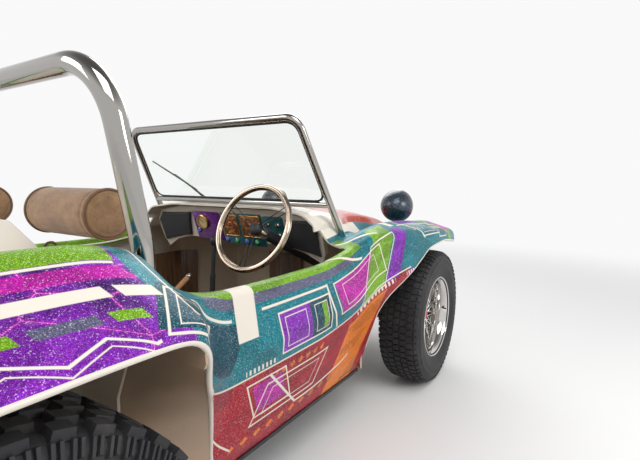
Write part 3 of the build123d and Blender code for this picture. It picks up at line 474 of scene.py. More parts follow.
def comb(u, v, row):
    """A row of short bars inside a slanted block: the block, half pitch and half width."""
    u0, u1, v0, v1, lean, pitch, half = row
    return filled((u - v * lean - u0).fold(pitch) - half) * slab(u, v, (u0, u1, v0, v1, lean))


def diamonds(u, v, row):
    """A chain of diamonds: its ends, middle, half pitch and half size."""
    start, end, middle, pitch, size = row
    return filled(beyond(u, start, end).most((u - start).fold(pitch) + abs(v - middle) - size))


# Unrolled skin: u is the distance forward, v the distance outwards and down from the crest.
GROUND = [  # colour, then u0, u1, v0, v1, lean
    (LIME, -1.60, -0.735, -0.30, 0.062, 0.00),
    (MAGENTA, -1.02, -0.80, 0.078, 0.112, 0.80),
    (TEAL, -0.735, 1.70, -0.30, 0.30, 0.20),
    (LIME, -0.53, 0.30, -0.06, 0.048, 0.00),
    (GREY, -0.53, 0.24, 0.048, 0.078, 0.00),
    (DEEP_TEAL, -0.62, -0.30, 0.115, 0.245, -0.55),
    (PURPLE, -0.26, -0.10, 0.128, 0.262, 0.25),
    (DEEP_TEAL, -0.10, 0.02, 0.128, 0.262, 0.25),
    (CRIMSON, -0.80, 0.62, 0.285, 0.75, 0.10),
    (MAGENTA, -0.48, -0.34, 0.330, 0.435, 0.50),
    (MAGENTA, 0.05, 0.36, 0.110, 0.235, 0.45),
    (GREY, 0.10, 0.40, 0.235, 0.262, 0.45),
    (ORANGE, 0.34, 0.60, 0.330, 0.75, -0.30),
    (LIME, 0.40, 0.55, 0.020, 0.300, -0.30),
    (PURPLE, 0.57, 0.66, 0.070, 0.300, -0.30),
    (PURPLE, 0.66, 0.92, -0.10, 0.05, 0.80),
    (LIME, 0.97, 1.04, -0.20, 0.40, 0.90),
    (MAGENTA, 1.20, 1.34, -0.05, 0.16, -0.60),
]
ACCENTS = [  # the same, over the panels' shade
    (LIME, -1.25, -1.02, 0.190, 0.213, 0.35),
    (GREY, -1.00, -0.90, 0.190, 0.213, 0.35),
    (LIME, -0.88, -0.82, 0.190, 0.213, 0.35),
    (LIME, -0.03, -0.005, 0.145, 0.240, 0.25),
]
CREAM_BLOCKS = [  # u0, u1, v0, v1, lean
    (-1.12, -1.07, -0.06, 0.090, 0.10),
    (-1.05, -0.84, 0.130, 0.158, 0.35),
    (-1.34, -1.10, 0.130, 0.158, 0.35),
    (-0.820, -0.745, 0.130, 0.158, 0.35),
    (-0.415, -0.335, -0.06, 0.170, 0.10),
    (0.575, 0.615, -0.06, 0.055, 0.40),
]
STRIPES = [  # start, end, half width
    ((-1.60, 0.067), (-0.74, 0.067), 0.0035),
    ((-1.60, 0.100), (-1.07, 0.100), 0.006),
    ((-1.07, 0.106), (-1.02, 0.070), 0.005),
    ((-0.735, -0.30), (-0.645, 0.20), 0.003),
    ((-0.60, 0.106), (-0.42, 0.106), 0.004),
    ((-0.30, 0.098), (0.04, 0.098), 0.004),
    ((0.04, 0.094), (0.13, 0.280), 0.004),
    ((-0.66, 0.288), (0.66, 0.288), 0.003),
    ((-0.24, 0.315), (-0.05, 0.500), 0.0040),
    ((-0.05, 0.498), (0.30, 0.498), 0.0040),
    ((-0.58, 0.330), (-0.36, 0.520), 0.0030),
    ((0.08, 0.000), (0.30, 0.092), 0.0045),
    ((0.24, -0.040), (0.44, 0.060), 0.0045),
    ((0.66, 0.060), (1.10, 0.060), 0.004),
    ((1.10, 0.060), (1.22, -0.060), 0.004),
    ((0.62, -0.06), (0.80, 0.180), 0.004),
    ((1.30, -0.10), (1.56, 0.100), 0.004),
    ((1.26, 0.000), (1.50, 0.190), 0.003),
]
LOOPS = [  # block edges: u0, u1, v0, v1, lean, half width
    (-0.60, -0.46, 0.128, 0.255, -0.55, 0.0030),
    (-0.575, -0.485, 0.148, 0.235, -0.55, 0.0016),
    (-0.26, 0.02, 0.128, 0.262, 0.25, 0.0030),
    (-0.235, -0.125, 0.146, 0.244, 0.25, 0.0016),
    (-0.075, 0.00, 0.146, 0.244, 0.25, 0.0016),
    (-0.50, -0.32, 0.318, 0.450, 0.50, 0.0030),
    (-0.10, 0.24, 0.350, 0.475, -0.40, 0.0030),
    (-0.06, 0.20, 0.372, 0.453, -0.40, 0.0016),
    (0.04, 0.37, 0.106, 0.238, 0.45, 0.0028),
    (0.09, 0.32, 0.128, 0.216, 0.45, 0.0014),
    (0.39, 0.56, 0.090, 0.300, -0.30, 0.0028),
    (0.70, 0.90, 0.075, 0.170, 0.50, 0.0028),
    (0.73, 0.87, 0.092, 0.153, 0.50, 0.0014),
    (1.08, 1.20, 0.080, 0.190, -0.50, 0.0026),
]
COMBS = [  # rows of bars: u0, u1, v0, v1, lean, half pitch, half width
    (0.10, 0.36, 0.296, 0.322, 0.60, 0.012, 0.0060),
    (-0.44, -0.30, 0.262, 0.280, 0.30, 0.009, 0.0040),
    (0.44, 0.62, 0.300, 0.322, 0.60, 0.010, 0.0045),
    (-0.60, -0.545, 0.300, 0.360, 0.10, 0.008, 0.0030),
    (0.92, 1.06, 0.105, 0.135, 0.50, 0.012, 0.0045),
]
CHAINS = [  # orange diamonds: start, end, middle, half pitch, half size
    (-0.21, 0.06, 0.325, 0.022, 0.015),
    (-0.36, 0.30, 0.520, 0.030, 0.018),
]
BARE = [  # plain cream inboard of the crest: u0, u1, v0, v1, lean
    (-1.60, -0.651, -1.20, -0.062, 0.0),
    (0.15, 0.70, -0.60, -0.085, 0.0),
]
ZIGZAGS = [  # start, end, middle, rise, half pitch, half width
    (-1.40, -0.76, 0.240, 0.030, 0.070, 0.0030),
    (-1.40, -0.76, 0.256, 0.030, 0.070, 0.0014),
    (0.70, 0.87, 0.105, 0.026, 0.028, 0.0020),
]


def shaded(colour, share):
    return tuple(part * share for part in colour)


def metal_flake(finish, colour):
    """Clear-coated flake paint over tilted normals. Its colour holds painted light: a shaded copy of the
    ground that is darker at random, a lit copy where a flake leans, and pale specks as painted glints.
    """
    coarse = finish.cells(620.0)
    shade, lean, _ = finish.parts(coarse)
    glint = finish.parts(finish.cells(1400.0))[1]
    # Painted glints: the few cells that become pale specks.
    painted_glint_speck = (shade.ramp(0.945, 0.965) * 0.85).most(glint.ramp(0.94, 0.96) * 0.45)
    # Painted shade and painted highlight: darker and lighter copies of the ground, chosen flake by flake by
    # its lean.
    painted_shade_flakes = finish.mix(glint * 0.42, colour, (0.0, 0.0, 0.0))
    painted_lit_flakes = finish.mix(1.0, colour, (1.9, 1.9, 1.9), "MULTIPLY")
    painted_light_by_lean = finish.mix(lean.ramp(0.55, 0.85) * 0.75, painted_shade_flakes, painted_lit_flakes)
    painted_glint_tone = finish.mix(painted_glint_speck, painted_light_by_lean, finish.mix(0.42, painted_lit_flakes, (1.0, 0.97, 0.92)))
    tilt = finish.vectors("SUBTRACT", coarse, (0.5, 0.5, 0.5))
    flat = finish.node("ShaderNodeNewGeometry", {}, {}, "Normal")
    leaned = finish.vectors("ADD", flat, finish.vectors("MULTIPLY", tilt, (0.16, 0.16, 0.16)))
    return painted_glint_tone, finish.vectors("NORMALIZE", leaned)


def flake_artwork():
    """Flake paint with a generic design of blocks and pinstripes on the unrolled skin."""
    finish = Finish("flake_artwork", Coat_Weight=0.14, Coat_Roughness=0.04, Specular_IOR_Level=0.1)
    unrolled = finish.node("ShaderNodeUVMap", {"uv_map": "unrolled"}, {})
    u, v, _ = finish.parts(unrolled)
    flat = finish.vectors("MULTIPLY", unrolled, (1.0, 1.5, 0.0))
    cloud = finish.noise(7.0, 3.0)
    colour = finish.mix(cloud.ramp(0.36, 0.62), DEEP_PURPLE, PURPLE)
    band = (v * 3.1 + u * 0.7).wave()
    colour = finish.mix(band.ramp(0.45, 1.0) * 0.7, colour, MAGENTA)
    for scale, width, paint, share in ((5.0, 0.030, MAGENTA, 0.55), (5.0, 0.0055, LILAC, 0.85),
                                       (10.0, 0.0050, LILAC, 0.45)):
        edge = finish.cells(scale, flat, "Distance", "DISTANCE_TO_EDGE")
        colour = finish.mix((width - edge).ramp(0.0, width * 0.8) * share, colour, paint)
    star = finish.cells(5.0, flat, "Distance")
    colour = finish.mix((0.05 - star).ramp(0.0, 0.05) * 0.8, colour, (0.95, 0.55, 1.0))
    for paint, *row in GROUND:
        colour = finish.mix(slab(u, v, row), colour, paint)
    for row in CHAINS:
        colour = finish.mix(diamonds(u, v, row), colour, ORANGE)
    panel = finish.cells(9.0, finish.vectors("MULTIPLY", unrolled, (1.0, 2.2, 0.0)))
    panel_shade = finish.parts(panel)[2]
    colour = finish.mix(panel_shade.ramp(0.60, 0.62) * 0.25, colour, (0.004, 0.004, 0.012))
    for paint, *row in ACCENTS:
        colour = finish.mix(slab(u, v, row), colour, paint)
    # The flakes' painted shade, painted highlights and painted glints come into the colour here.
    painted_glint_tone, normal = metal_flake(finish, colour)
    cream = None
    for draw, rows in ((slab, CREAM_BLOCKS + BARE), (stroke, STRIPES), (zigzag, ZIGZAGS),
                       (outline_loop, LOOPS), (comb, COMBS)):
        for row in rows:
            mask = draw(u, v, row)
            cream = cream.most(mask) if cream else mask
    painted_glint_tone = finish.mix(cream, painted_glint_tone, CREAM)
    return finish.show(Base_Color=painted_glint_tone, Metallic=(1.0 - cream) * 0.15, Roughness=cream * 0.06 + 0.36,
                       Normal=normal)


def gelcoat(name, colour, rough):
    """Moulded cream gelcoat: faint mottling and a slight orange-peel."""
    finish = Finish(name, Coat_Weight=0.35, Coat_Roughness=0.08)
    mottle = finish.noise(9.0, 4.0)
    dirt = finish.noise(2.2, 5.0, 0.6)
    tone = finish.mix(mottle.ramp(0.3, 0.7), shaded(colour, 0.93), colour)
    tone = finish.mix(dirt.ramp(0.55, 0.8) * 0.25, tone, (0.52, 0.42, 0.33))
    finish.bumps(finish.noise(160.0, 2.0), 0.0004)
    return finish.show(Base_Color=tone, Roughness=mottle * 0.12 + rough)


def polished(name, colour, rough):
    """Polished metal with faint smears and pitting."""
    finish = Finish(name, Metallic=1.0)
    smear = finish.noise(14.0, 5.0, 0.65)
    pits = finish.noise(420.0, 2.0)
    tone = finish.mix(smear.ramp(0.55, 0.85) * 0.35, colour, shaded(colour, 0.72))
    finish.bumps(pits, 0.00008, 0.4)
    return finish.show(Base_Color=tone, Roughness=smear.ramp(0.35, 0.75) * 0.08 + rough)


def satin_paint(name, colour, rough):
    """Sprayed chassis paint with dust in it."""
    finish = Finish(name)
    dust = finish.noise(6.0, 6.0, 0.7)
    tone = finish.mix(dust.ramp(0.5, 0.8) * 0.35, colour, (0.20, 0.18, 0.16))
    finish.bumps(finish.noise(300.0, 2.0), 0.0003)
    return finish.show(Base_Color=tone, Roughness=dust * 0.25 + rough)


def cast_metal(name, colour, grain=700.0, rough=0.45):
    """Sand-cast alloy or iron with oily shadows."""
    finish = Finish(name)
    sand = finish.noise(grain, 3.0, 0.6)
    oil = finish.noise(8.0, 5.0, 0.65)
    tone = finish.mix(oil.ramp(0.5, 0.75) * 0.6, colour, shaded(colour, 0.35))
    finish.bumps(sand, 0.0005)
    return finish.show(Base_Color=tone, Roughness=sand * 0.2 + rough, Metallic=0.9 - oil * 0.3)


def tyre_rubber():
    """Dark tread rubber, greyer where it is dusty."""
    finish = Finish("tyre_rubber", Specular_IOR_Level=0.35)
    dust = finish.noise(11.0, 6.0, 0.7)
    fine = finish.noise(240.0, 3.0)
    tone = finish.mix(dust.ramp(0.42, 0.78) * 0.6, (0.018, 0.018, 0.020), (0.075, 0.070, 0.066))
    finish.bumps(fine, 0.0004)
    return finish.show(Base_Color=tone, Roughness=dust * 0.2 + 0.52)


def flake_paint(name, colour):
    """One colour of flake under a clear coat."""
    finish = Finish(name, Metallic=0.40, Roughness=0.3, Coat_Weight=0.4, Coat_Roughness=0.05)
    # The flakes' painted shade, painted highlights and painted glints come into the colour here.
    painted_glint_tone, normal = metal_flake(finish, finish.mix(finish.noise(30.0), colour, shaded(colour, 0.6)))
    return finish.show(Base_Color=painted_glint_tone, Normal=normal)


def hammered(name, colour):
    """Beaten sheet metal with dark hollows."""
    finish = Finish(name, Metallic=1.0)
    dents = finish.cells(160.0, None, "Distance")
    tarnish = finish.noise(60.0, 4.0, 0.6)
    tone = finish.mix(tarnish.ramp(0.4, 0.7) * 0.7, colour, shaded(colour, 0.3))
    finish.bumps(dents, 0.002)
    return finish.show(Base_Color=tone, Roughness=tarnish * 0.3 + 0.22)


def jewel(name, colour):
    """Coloured glass over a bright back: ribbed and clear-coated."""
    finish = Finish(name, Coat_Weight=1.0, Coat_Roughness=0.02)
    ribs = finish.parts(finish.place())[2].fold(0.0015)
    finish.bumps(ribs, 0.5)
    tone = finish.mix(finish.noise(70.0), colour, tuple(min(1.0, c * 1.8 + 0.02) for c in colour))
    return finish.show(Base_Color=tone, Roughness=finish.noise(40.0) * 0.1 + 0.12)


def walnut():
    """Dark boards with long grain."""
    finish = Finish("walnut_board", Coat_Weight=0.3, Coat_Roughness=0.2)
    along = finish.vectors("MULTIPLY", finish.place(), (1.0, 1.0, 0.08))
    grain = finish.noise(40.0, 6.0, 0.65, along)
    tone = finish.mix(grain.ramp(0.35, 0.65), (0.05, 0.022, 0.010), (0.16, 0.078, 0.034))
    finish.bumps(grain, 0.0004)
    return finish.show(Base_Color=tone, Roughness=grain * 0.2 + 0.35)


def clear_glass():
    """Laminated screen glass."""
    finish = Finish("screen_glass", Transmission_Weight=1.0, IOR=1.45)
    haze = finish.noise(3.0, 4.0)
    return finish.show(Base_Color=finish.mix(haze * 0.15, (0.97, 1.0, 0.98), (0.90, 0.95, 0.93)),
                       Roughness=haze.ramp(0.6, 0.9) * 0.02)


def grained(name, colour, other, grain, rough, depth=0.0006):
    """Leather or padded vinyl: pebbled grain with painted shade darkening its pits, over a broad random
    tone.
    """
    finish = Finish(name)
    pebble = finish.cells(grain, None, "Distance")
    broad = finish.noise(10.0, 4.0, 0.6)
    tone = finish.mix(broad.ramp(0.3, 0.7), colour, other)
    # Painted shade: the pits of the pebble grain darkened.
    tone = finish.mix(pebble.ramp(0.5, 0.0) * 0.3, tone, (0.0, 0.0, 0.0))
    finish.bumps(pebble, depth)
    return finish.show(Base_Color=tone, Roughness=broad * 0.2 + rough)


def brown_suede():
    """Brushed brown suede: long soft streaks, nap and darker rubbed patches."""
    finish = Finish("brown_suede", Sheen_Weight=0.35, Sheen_Roughness=0.5)
    brushed = finish.vectors("MULTIPLY", finish.place(), (1.0, 0.25, 1.0))
    nap = finish.noise(90.0, 5.0, 0.7, brushed)
    patch = finish.noise(13.0, 5.0, 0.65)
    fibre = finish.noise(900.0, 2.0)
    tone = finish.mix(patch.ramp(0.32, 0.70), (0.20, 0.105, 0.048), (0.36, 0.205, 0.098))
    tone = finish.mix(nap.ramp(0.45, 0.75) * 0.45, tone, (0.12, 0.060, 0.028))
    finish.bumps(fibre * 0.5 + nap, 0.0008)
    return finish.show(Base_Color=tone, Roughness=patch * 0.15 + 0.78)


# Body skins

# Outer corners of the flank, front to rear the same four: crest, shoulder, waist and foot.
FLANK = [  # x, crest y z, shoulder y z, waist y z, foot y z, crest radius, shoulder radius
    (-1.400, 0.560, 0.822, 0.790, 0.690, 0.800, 0.600, 0.760, 0.420, 0.090, 0.050),
    (-1.240, 0.590, 0.892, 0.840, 0.760, 0.850, 0.660, 0.790, 0.420, 0.090, 0.050),
    (-1.016, 0.612, 0.930, 0.858, 0.785, 0.866, 0.700, 0.790, 0.420, 0.090, 0.050),
    (-0.800, 0.622, 0.936, 0.852, 0.782, 0.860, 0.700, 0.760, 0.420, 0.090, 0.045),
    (-0.715, 0.630, 0.924, 0.844, 0.781, 0.852, 0.690, 0.720, 0.380, 0.080, 0.040),
    (-0.650, 0.626, 0.893, 0.830, 0.778, 0.842, 0.655, 0.660, 0.330, 0.050, 0.035),
    (-0.600, 0.626, 0.834, 0.750, 0.790, 0.790, 0.600, 0.604, 0.294, 0.024, 0.030),
    (-0.520, 0.626, 0.784, 0.690, 0.776, 0.728, 0.590, 0.602, 0.292, 0.014, 0.024),
    (-0.400, 0.626, 0.766, 0.664, 0.762, 0.678, 0.580, 0.600, 0.292, 0.012, 0.020),
    (0.000, 0.626, 0.762, 0.664, 0.756, 0.676, 0.580, 0.600, 0.298, 0.012, 0.020),
    (0.240, 0.622, 0.790, 0.662, 0.784, 0.680, 0.590, 0.600, 0.299, 0.016, 0.024),
    (0.430, 0.612, 0.850, 0.690, 0.826, 0.690, 0.600, 0.596, 0.300, 0.050, 0.035),
    (0.640, 0.606, 0.864, 0.730, 0.826, 0.735, 0.640, 0.640, 0.400, 0.060, 0.040),
    (1.016, 0.602, 0.846, 0.760, 0.800, 0.775, 0.680, 0.760, 0.500, 0.060, 0.040),
    (1.350, 0.580, 0.812, 0.730, 0.770, 0.745, 0.650, 0.730, 0.520, 0.060, 0.040),
    (1.560, 0.540, 0.690, 0.660, 0.660, 0.680, 0.580, 0.665, 0.500, 0.060, 0.040),
]
SIDE_FOOT = (0.571, 0.2185)  # where the sides turn under the car
WING_INNER = [  # x, the edge by the hood y z, the valley y z
    (0.240, 0.515, 0.852, 0.556, 0.806),
    (0.430, 0.508, 0.862, 0.548, 0.815),
    (0.640, 0.425, 0.850, 0.480, 0.796),
    (1.016, 0.372, 0.812, 0.436, 0.752),
    (1.350, 0.330, 0.742, 0.400, 0.700),
    (1.560, 0.300, 0.640, 0.370, 0.606),
]
DECK_HUMP = [  # x, the valley y z, the foot of the hump y z, its top y z
    (-1.400, 0.400, 0.796, 0.230, 0.808, 0.060, 0.856),
    (-1.240, 0.420, 0.846, 0.230, 0.858, 0.060, 0.915),
    (-1.016, 0.440, 0.866, 0.230, 0.876, 0.060, 0.940),
    (-0.800, 0.446, 0.858, 0.230, 0.870, 0.060, 0.940),
    (-0.715, 0.446, 0.850, 0.230, 0.866, 0.060, 0.936),
    (-0.650, 0.446, 0.842, 0.230, 0.862, 0.060, 0.930),
]
HOOD = [  # x, the edge y z, the corner y z, a point inboard y z
    (0.434, 0.5061, 0.8621, 0.494, 0.892, 0.330, 0.926),
    (0.640, 0.4247, 0.8503, 0.404, 0.890, 0.250, 0.912),
    (1.016, 0.3717, 0.8123, 0.350, 0.850, 0.200, 0.876),
    (1.350, 0.3297, 0.7423, 0.310, 0.776, 0.170, 0.806),
    (1.560, 0.2997, 0.6403, 0.282, 0.668, 0.150, 0.690),
]
COWL_TOP = 0.9357
COWL = [  # x, the edge y z, the corner y z, the shoulder y z, the flat top y z
    (0.198, 0.5160, 0.8500, 0.512, 0.872, 0.462, 0.916, 0.300, COWL_TOP),
    (0.240, 0.5147, 0.8523, 0.510, 0.874, 0.462, 0.916, 0.300, COWL_TOP),
    (0.300, 0.5125, 0.8555, 0.508, 0.878, 0.462, 0.916, 0.300, COWL_TOP),
    (0.4337, 0.5062, 0.8621, 0.494, 0.890, 0.430, 0.908, 0.300, 0.926),
]
FRONT_ARCH = [(0.489, 0.308), (0.490, 0.473), (0.510, 0.515), (0.635, 0.612), (0.768, 0.690),
              (0.850, 0.728), (1.067, 0.745), (1.201, 0.730), (1.417, 0.700), (1.560, 0.680)]
REAR_ARCH = [(-0.398, 0.222), (-0.410, 0.262), (-0.430, 0.302), (-0.452, 0.380), (-0.482, 0.460),
             (-0.530, 0.540), (-0.574, 0.582), (-0.604, 0.622), (-0.622, 0.665), (-0.638, 0.705),
             (-0.660, 0.738), (-0.700, 0.760), (-0.760, 0.768), (-1.000, 0.772), (-1.180, 0.740),
             (-1.400, 0.648)]
FRONT_CUT = [(1.800, 0.640), (1.800, 0.10), (0.489, 0.10)]  # the openings go on round these, past the panels
REAR_CUT = [(-1.700, 0.500), (-1.700, 0.10), (-0.398, 0.10)]
SIDE_XS, WING_XS, DECK_XS = (-0.650, 0.240), (0.2405, 1.560), (-1.400, -0.6505)  # where each panel lies


def column(table, x):
    """One row of a table at any x."""
    xs = [row[0] for row in table]
    return smooth_at(xs, [row[1:] for row in table], x)


def flank(x):
    """The flank's four corners, and the radii at its crest, shoulder and waist."""
    cy, cz, sy, sz, wy, wz, fy, fz, crest_r, shoulder_r = column(FLANK, x)
    return [(cy, cz), (sy, sz), (wy, wz), (fy, fz)], [crest_r, shoulder_r, 0.070]


def side_outline(x):
    """The cockpit side's outline from its inner lip over the crest and down to the sill."""
    corners, radii = flank(x)
    crest_y, crest_z = corners[0]
    return [(crest_y - 0.004, crest_z - 0.044), *corners, SIDE_FOOT], [*radii, 0.030]


def wing_outline(x):
    ey, ez, vy, vz = column(WING_INNER, x)
    corners, radii = flank(x)
    return [(ey, ez), (vy, vz), *corners, SIDE_FOOT], [0.030, *radii, 0.030]


def deck_outline(x):
    vy, vz, ly, lz, ty, tz = column(DECK_HUMP, x)
    corners, radii = flank(x)
    return [(0, tz), (ty, tz), (ly, lz), (vy, vz), *corners], [0.080, 0.060, 0.060, *radii[:2], 0.050]


def hood_outline(x):
    ey, ez, cy, cz, my, mz = column(HOOD, x)
    return [(0, mz), (my, mz), (cy, cz), (ey, ez)], [0.120, 0.030]


def cowl_outline(x):
    ey, ez, cy, cz, sy, sz, my, mz = column(COWL, x)
    return [(0, mz), (my, mz), (sy, sz), (cy, cz), (ey, ez)], [0.240, 0.090, 0.030]


def crest_share(outline, radii, crest):
    """The rounded outline and each point's distance along it from the crest."""
    line = rounded(outline, radii)
    steps = np.concatenate([[0], np.cumsum(np.linalg.norm(np.diff(line, axis=0), axis=1))])
    return line, steps - steps[(crest - 1) * (RUNS + ARC) + RUNS + ARC // 2]


def skin(name, outline_at, xs, crest, paint, under):
    """A moulded panel on the left side: painted outside, bare gelcoat inside, unrolled for paint."""
    verts, unrolled = [], []
    for x in xs:
        line, along = crest_share(*outline_at(x), crest)
        verts += [(x, y, z) for y, z in line]
        unrolled += [(x, share) for share in along]
    thing = new_object(name, verts, grid_faces(len(xs), len(line), ends_meet=False), paint)
    thing.data.materials.append(under.material)
    layer = thing.data.uv_layers.new(name="unrolled")
    for loop in thing.data.loops:
        layer.data[loop.index].uv = unrolled[loop.vertex_index]
    with opened(thing) as made:
        bmesh.ops.recalc_face_normals(made, faces=made.faces)
        outermost = sorted(made.faces, key=lambda face: face.calc_center_median().y)[-1]
        if outermost.normal.y < 0:
            bmesh.ops.reverse_faces(made, faces=made.faces)
    modifier(thing, "SOLIDIFY", thickness=SKIN, offset=-1, material_offset=1, material_offset_rim=1,
             use_even_offset=True, thickness_clamp=0.5)
    return bake_modifiers(thing)


def cut_arch(thing, arch, beyond_arch):
    """Takes the wheel opening out of a panel."""
    line = [tuple(p) for p in spline(arch, 60)] + beyond_arch
    cutter = extruded("cutter", *([(x, y, z) for x, z in line] for y in (0.300, 1.100)))
    modifier(thing, "BOOLEAN", object=cutter, operation="DIFFERENCE", solver="EXACT")
    bake_modifiers(thing)
    bpy.data.objects.remove(cutter)
    return thing


def flank_y(outline_at, x, z):
    """How far out the panel's outer face is at a height on its lower part."""
    line = rounded(*outline_at(x))
    for (y1, z1), (y0, z0) in zip(line[::-1], line[-2::-1]):
        if (z0 - z) * (z1 - z) <= 0 and z0 != z1:
            return y1 + (y0 - y1) * (z - z1) / (z0 - z1)
    return line[-1][0] if z < line[-1][1] else line[len(line) // 2][0]


def outer_flank(x):
    if x < SIDE_XS[0]:
        return deck_outline(x)
    return side_outline(x) if x < SIDE_XS[1] else wing_outline(x)


def span(start, end, step):
    """Evenly spaced values from start to end, about a step apart."""
    return list(np.linspace(start, end, max(2, int(round(abs(end - start) / step)) + 1)))


LIP_R, COCKPIT_BEAD_R = 0.0068, 0.0045


def lip_path(arch):
    """The middle of the bead that rolls a wheel opening's edge, inside the panel's outer face."""
    return [(x, flank_y(outer_flank, x, z) - SKIN / 2 - 0.0025, z) for x, z in spline(arch, 90)]


def dress(panels):
    """Settles each left-hand panel and its twin on their node."""
    for left, node in panels:
        for thing in both(left):
            settle(sharpen(thing, 40), node)


def build_body(paint, cream, coral):
    """Panels, and the cream beads that roll the wheel openings' lips and run along the cockpit's edge."""
    side = skin("side_left", side_outline, span(*SIDE_XS, 0.013), 1, paint, cream)
    wing = skin("wing_left", wing_outline, span(*WING_XS, 0.014), 2, paint, cream)
    deck = skin("deck_left", deck_outline, span(*DECK_XS, 0.013), 4, paint, cream)
    dress([(cut_arch(side, REAR_ARCH, REAR_CUT), "body_sides"),
           (cut_arch(wing, FRONT_ARCH, FRONT_CUT), "front_wings"),
           (cut_arch(deck, REAR_ARCH, REAR_CUT), "rear_deck")])
    dress([(skin("hood_left", hood_outline, span(0.434, 1.560, 0.02), 2, coral, cream), "hood"),
           (skin("cowl_left", cowl_outline, span(0.198, 0.4337, 0.012), 3, cream, cream), "cowl")])
    crest = [(x, *column(FLANK, x)[:2]) for x in span(SIDE_XS[0] + 0.005, SIDE_XS[1] - 0.004, 0.02)]
    edges = {"arch_lip_rear_left": (lip_path(REAR_ARCH), LIP_R),
             "arch_lip_front_left": (lip_path(FRONT_ARCH), LIP_R),
             "cockpit_bead_left": ([(x, y - 0.006, z - 0.030) for x, y, z in crest], COCKPIT_BEAD_R)}
    for name, (path, radius) in edges.items():
        for thing in both(tube(name, path, radius, cream, 10)):
            settle(thing, None)


WELL_ROOT_X = -0.6565  # where the wall meets the bulkhead
WELL_FOOT_Z, WELL_HEAD_Z = 0.2195, 0.705
WELL_INNER = [(WELL_FOOT_Z, 0.554), (0.300, 0.548), (0.540, 0.548), (0.620, 0.575), (WELL_HEAD_Z, 0.603)]
WELL_TOP = [(0.602, 0.690), (0.826, 0.690), (0.832, 0.702), (0.827, 0.742), (0.810, 0.762), (0.636, 0.858),
            (0.602, 0.858)]
WELL_WALL, WELL_PLATE = 0.0055, 0.006


def build_wells(shaded_raw):
    """The walls that close the cockpit off from the rear wheels, fitted to the arch's front edge."""
    leg = np.array([point for point in spline(REAR_ARCH, 200) if point[0] > WELL_ROOT_X - 0.0055])
    inner = np.array(WELL_INNER)
    rows = []
    for z in np.linspace(WELL_FOOT_Z, WELL_HEAD_Z, 26):
        edge_x = np.interp(z, leg[:, 1], leg[:, 0]) - 0.0005
        edge_y = flank_y(outer_flank, edge_x, z) - 0.002
        inner_y = np.interp(z, inner[:, 0], inner[:, 1])
        ahead, across = edge_x - WELL_ROOT_X, edge_y - inner_y
        back = Vector((across, -ahead, 0)).normalized() * WELL_WALL
        wheel_side = [Vector((WELL_ROOT_X + ahead * t, inner_y + across * t, z))
                      for t in np.linspace(0, 1, 6)]
        rows.append(wheel_side + [point + back for point in reversed(wheel_side)])
    verts = [point for row in rows for point in row]
    # The wall and its top plate take the dark tan with painted shade.
    wall = new_object("well_wall_left", verts, capped(len(rows), len(rows[0])), shaded_raw)
    ends = ([(x, y, z) for y, z in WELL_TOP] for x in (WELL_ROOT_X, WELL_ROOT_X + WELL_PLATE))
    plate = extruded("well_top_left", *ends, shaded_raw, smooth=False)
    for thing in both(join("wheel_well_left", [sharpen(fix_normals(wall)), plate])):
        settle(thing, "wheel_wells")


# Wheels

# name, x, y, tyre radius, tyre half width, rim half width, offsets of the drum and of the hub's nose
WHEELS = [
    ("front", FRONT_X, 0.668, FRONT_TYRE_R, 0.105, 0.090, -0.089, 0.029),
    ("rear", REAR_X, 0.713, REAR_TYRE_R, 0.145, 0.125, -0.101, 0.017),
]
RIM_R, BEAD_R = 0.208, 0.1925
# Rows of tread blocks: (inner and outer offset, r inside, r outside), height, share of pitch, count, phase
FRONT_TREAD = [
    ((-0.014, 0.3385), (0.014, 0.3385), 0.0065, 0.86, 66, 0.0),
    ((0.019, 0.3385), (0.045, 0.3380), 0.0065, 0.84, 66, 0.4),
    ((0.050, 0.3375), (0.079, 0.3345), 0.0065, 0.80, 66, 0.1),
    ((0.080, 0.3335), (0.094, 0.3230), 0.0055, 0.74, 66, 0.1),
]
REAR_TREAD = [
    ((0.008, 0.3490), (0.050, 0.3490), 0.0135, 0.62, 36, 0.0),
    ((0.056, 0.3490), (0.092, 0.3480), 0.0135, 0.62, 36, 0.45),
    ((0.096, 0.3480), (0.128, 0.3455), 0.0130, 0.60, 36, 0.1),
    ((0.129, 0.3450), (0.141, 0.3190), 0.0040, 0.22, 72, 0.55),
    ((0.129, 0.3450), (0.142, 0.3150), 0.0040, 0.22, 72, 0.15),
]
BLOCK_FACES = [(0, 1, 7, 6), (1, 2, 8, 7), (3, 9, 10, 4), (4, 10, 11, 5), (0, 6, 9, 3), (2, 5, 11, 8),
               (6, 7, 10, 9), (7, 8, 11, 10)]  # three points along each edge, foot first, then top
BLOCK_SINK, BLOCK_TAPER = 0.004, 0.12


def tread_blocks(name, rows, finish, centre):
    """Raised blocks round a tyre, in mirrored rows, each tapering to its top."""
    verts, faces = [], []
    for (o0, r0), (o1, r1), height, share, count, phase in rows:
        run = hypot(o1 - o0, r1 - r0)
        out_o, out_r = -(r1 - r0) / run, (o1 - o0) / run
        sides = (1, -1) if o0 > 0 else (1,)
        for side, index in [(side, index) for side in sides for index in range(count)]:
            middle = 2 * pi * (index + phase + (0.5 if side < 0 else 0)) / count
            half = pi * share / count
            faces += [tuple(len(verts) + corner for corner in quad) for quad in BLOCK_FACES]
            for lift, cut in ((-BLOCK_SINK, 0.0), (height, BLOCK_TAPER)):
                for o, r, way in ((o0, r0, 1), (o1, r1, -1)):
                    offset = o + (o1 - o0) * cut * 0.5 * way + out_o * lift
                    radius = r + (r1 - r0) * cut * 0.5 * way + out_r * lift
                    for turn in (-1, 0, 1):
                        angle = middle + turn * half * (1 - cut)
                        verts.append((radius * sin(angle), side * offset, radius * cos(angle)))
    made = new_object(name, verts, faces, finish, smooth=False)
    made.data.transform(Matrix.Translation(centre))
    return fix_normals(made)


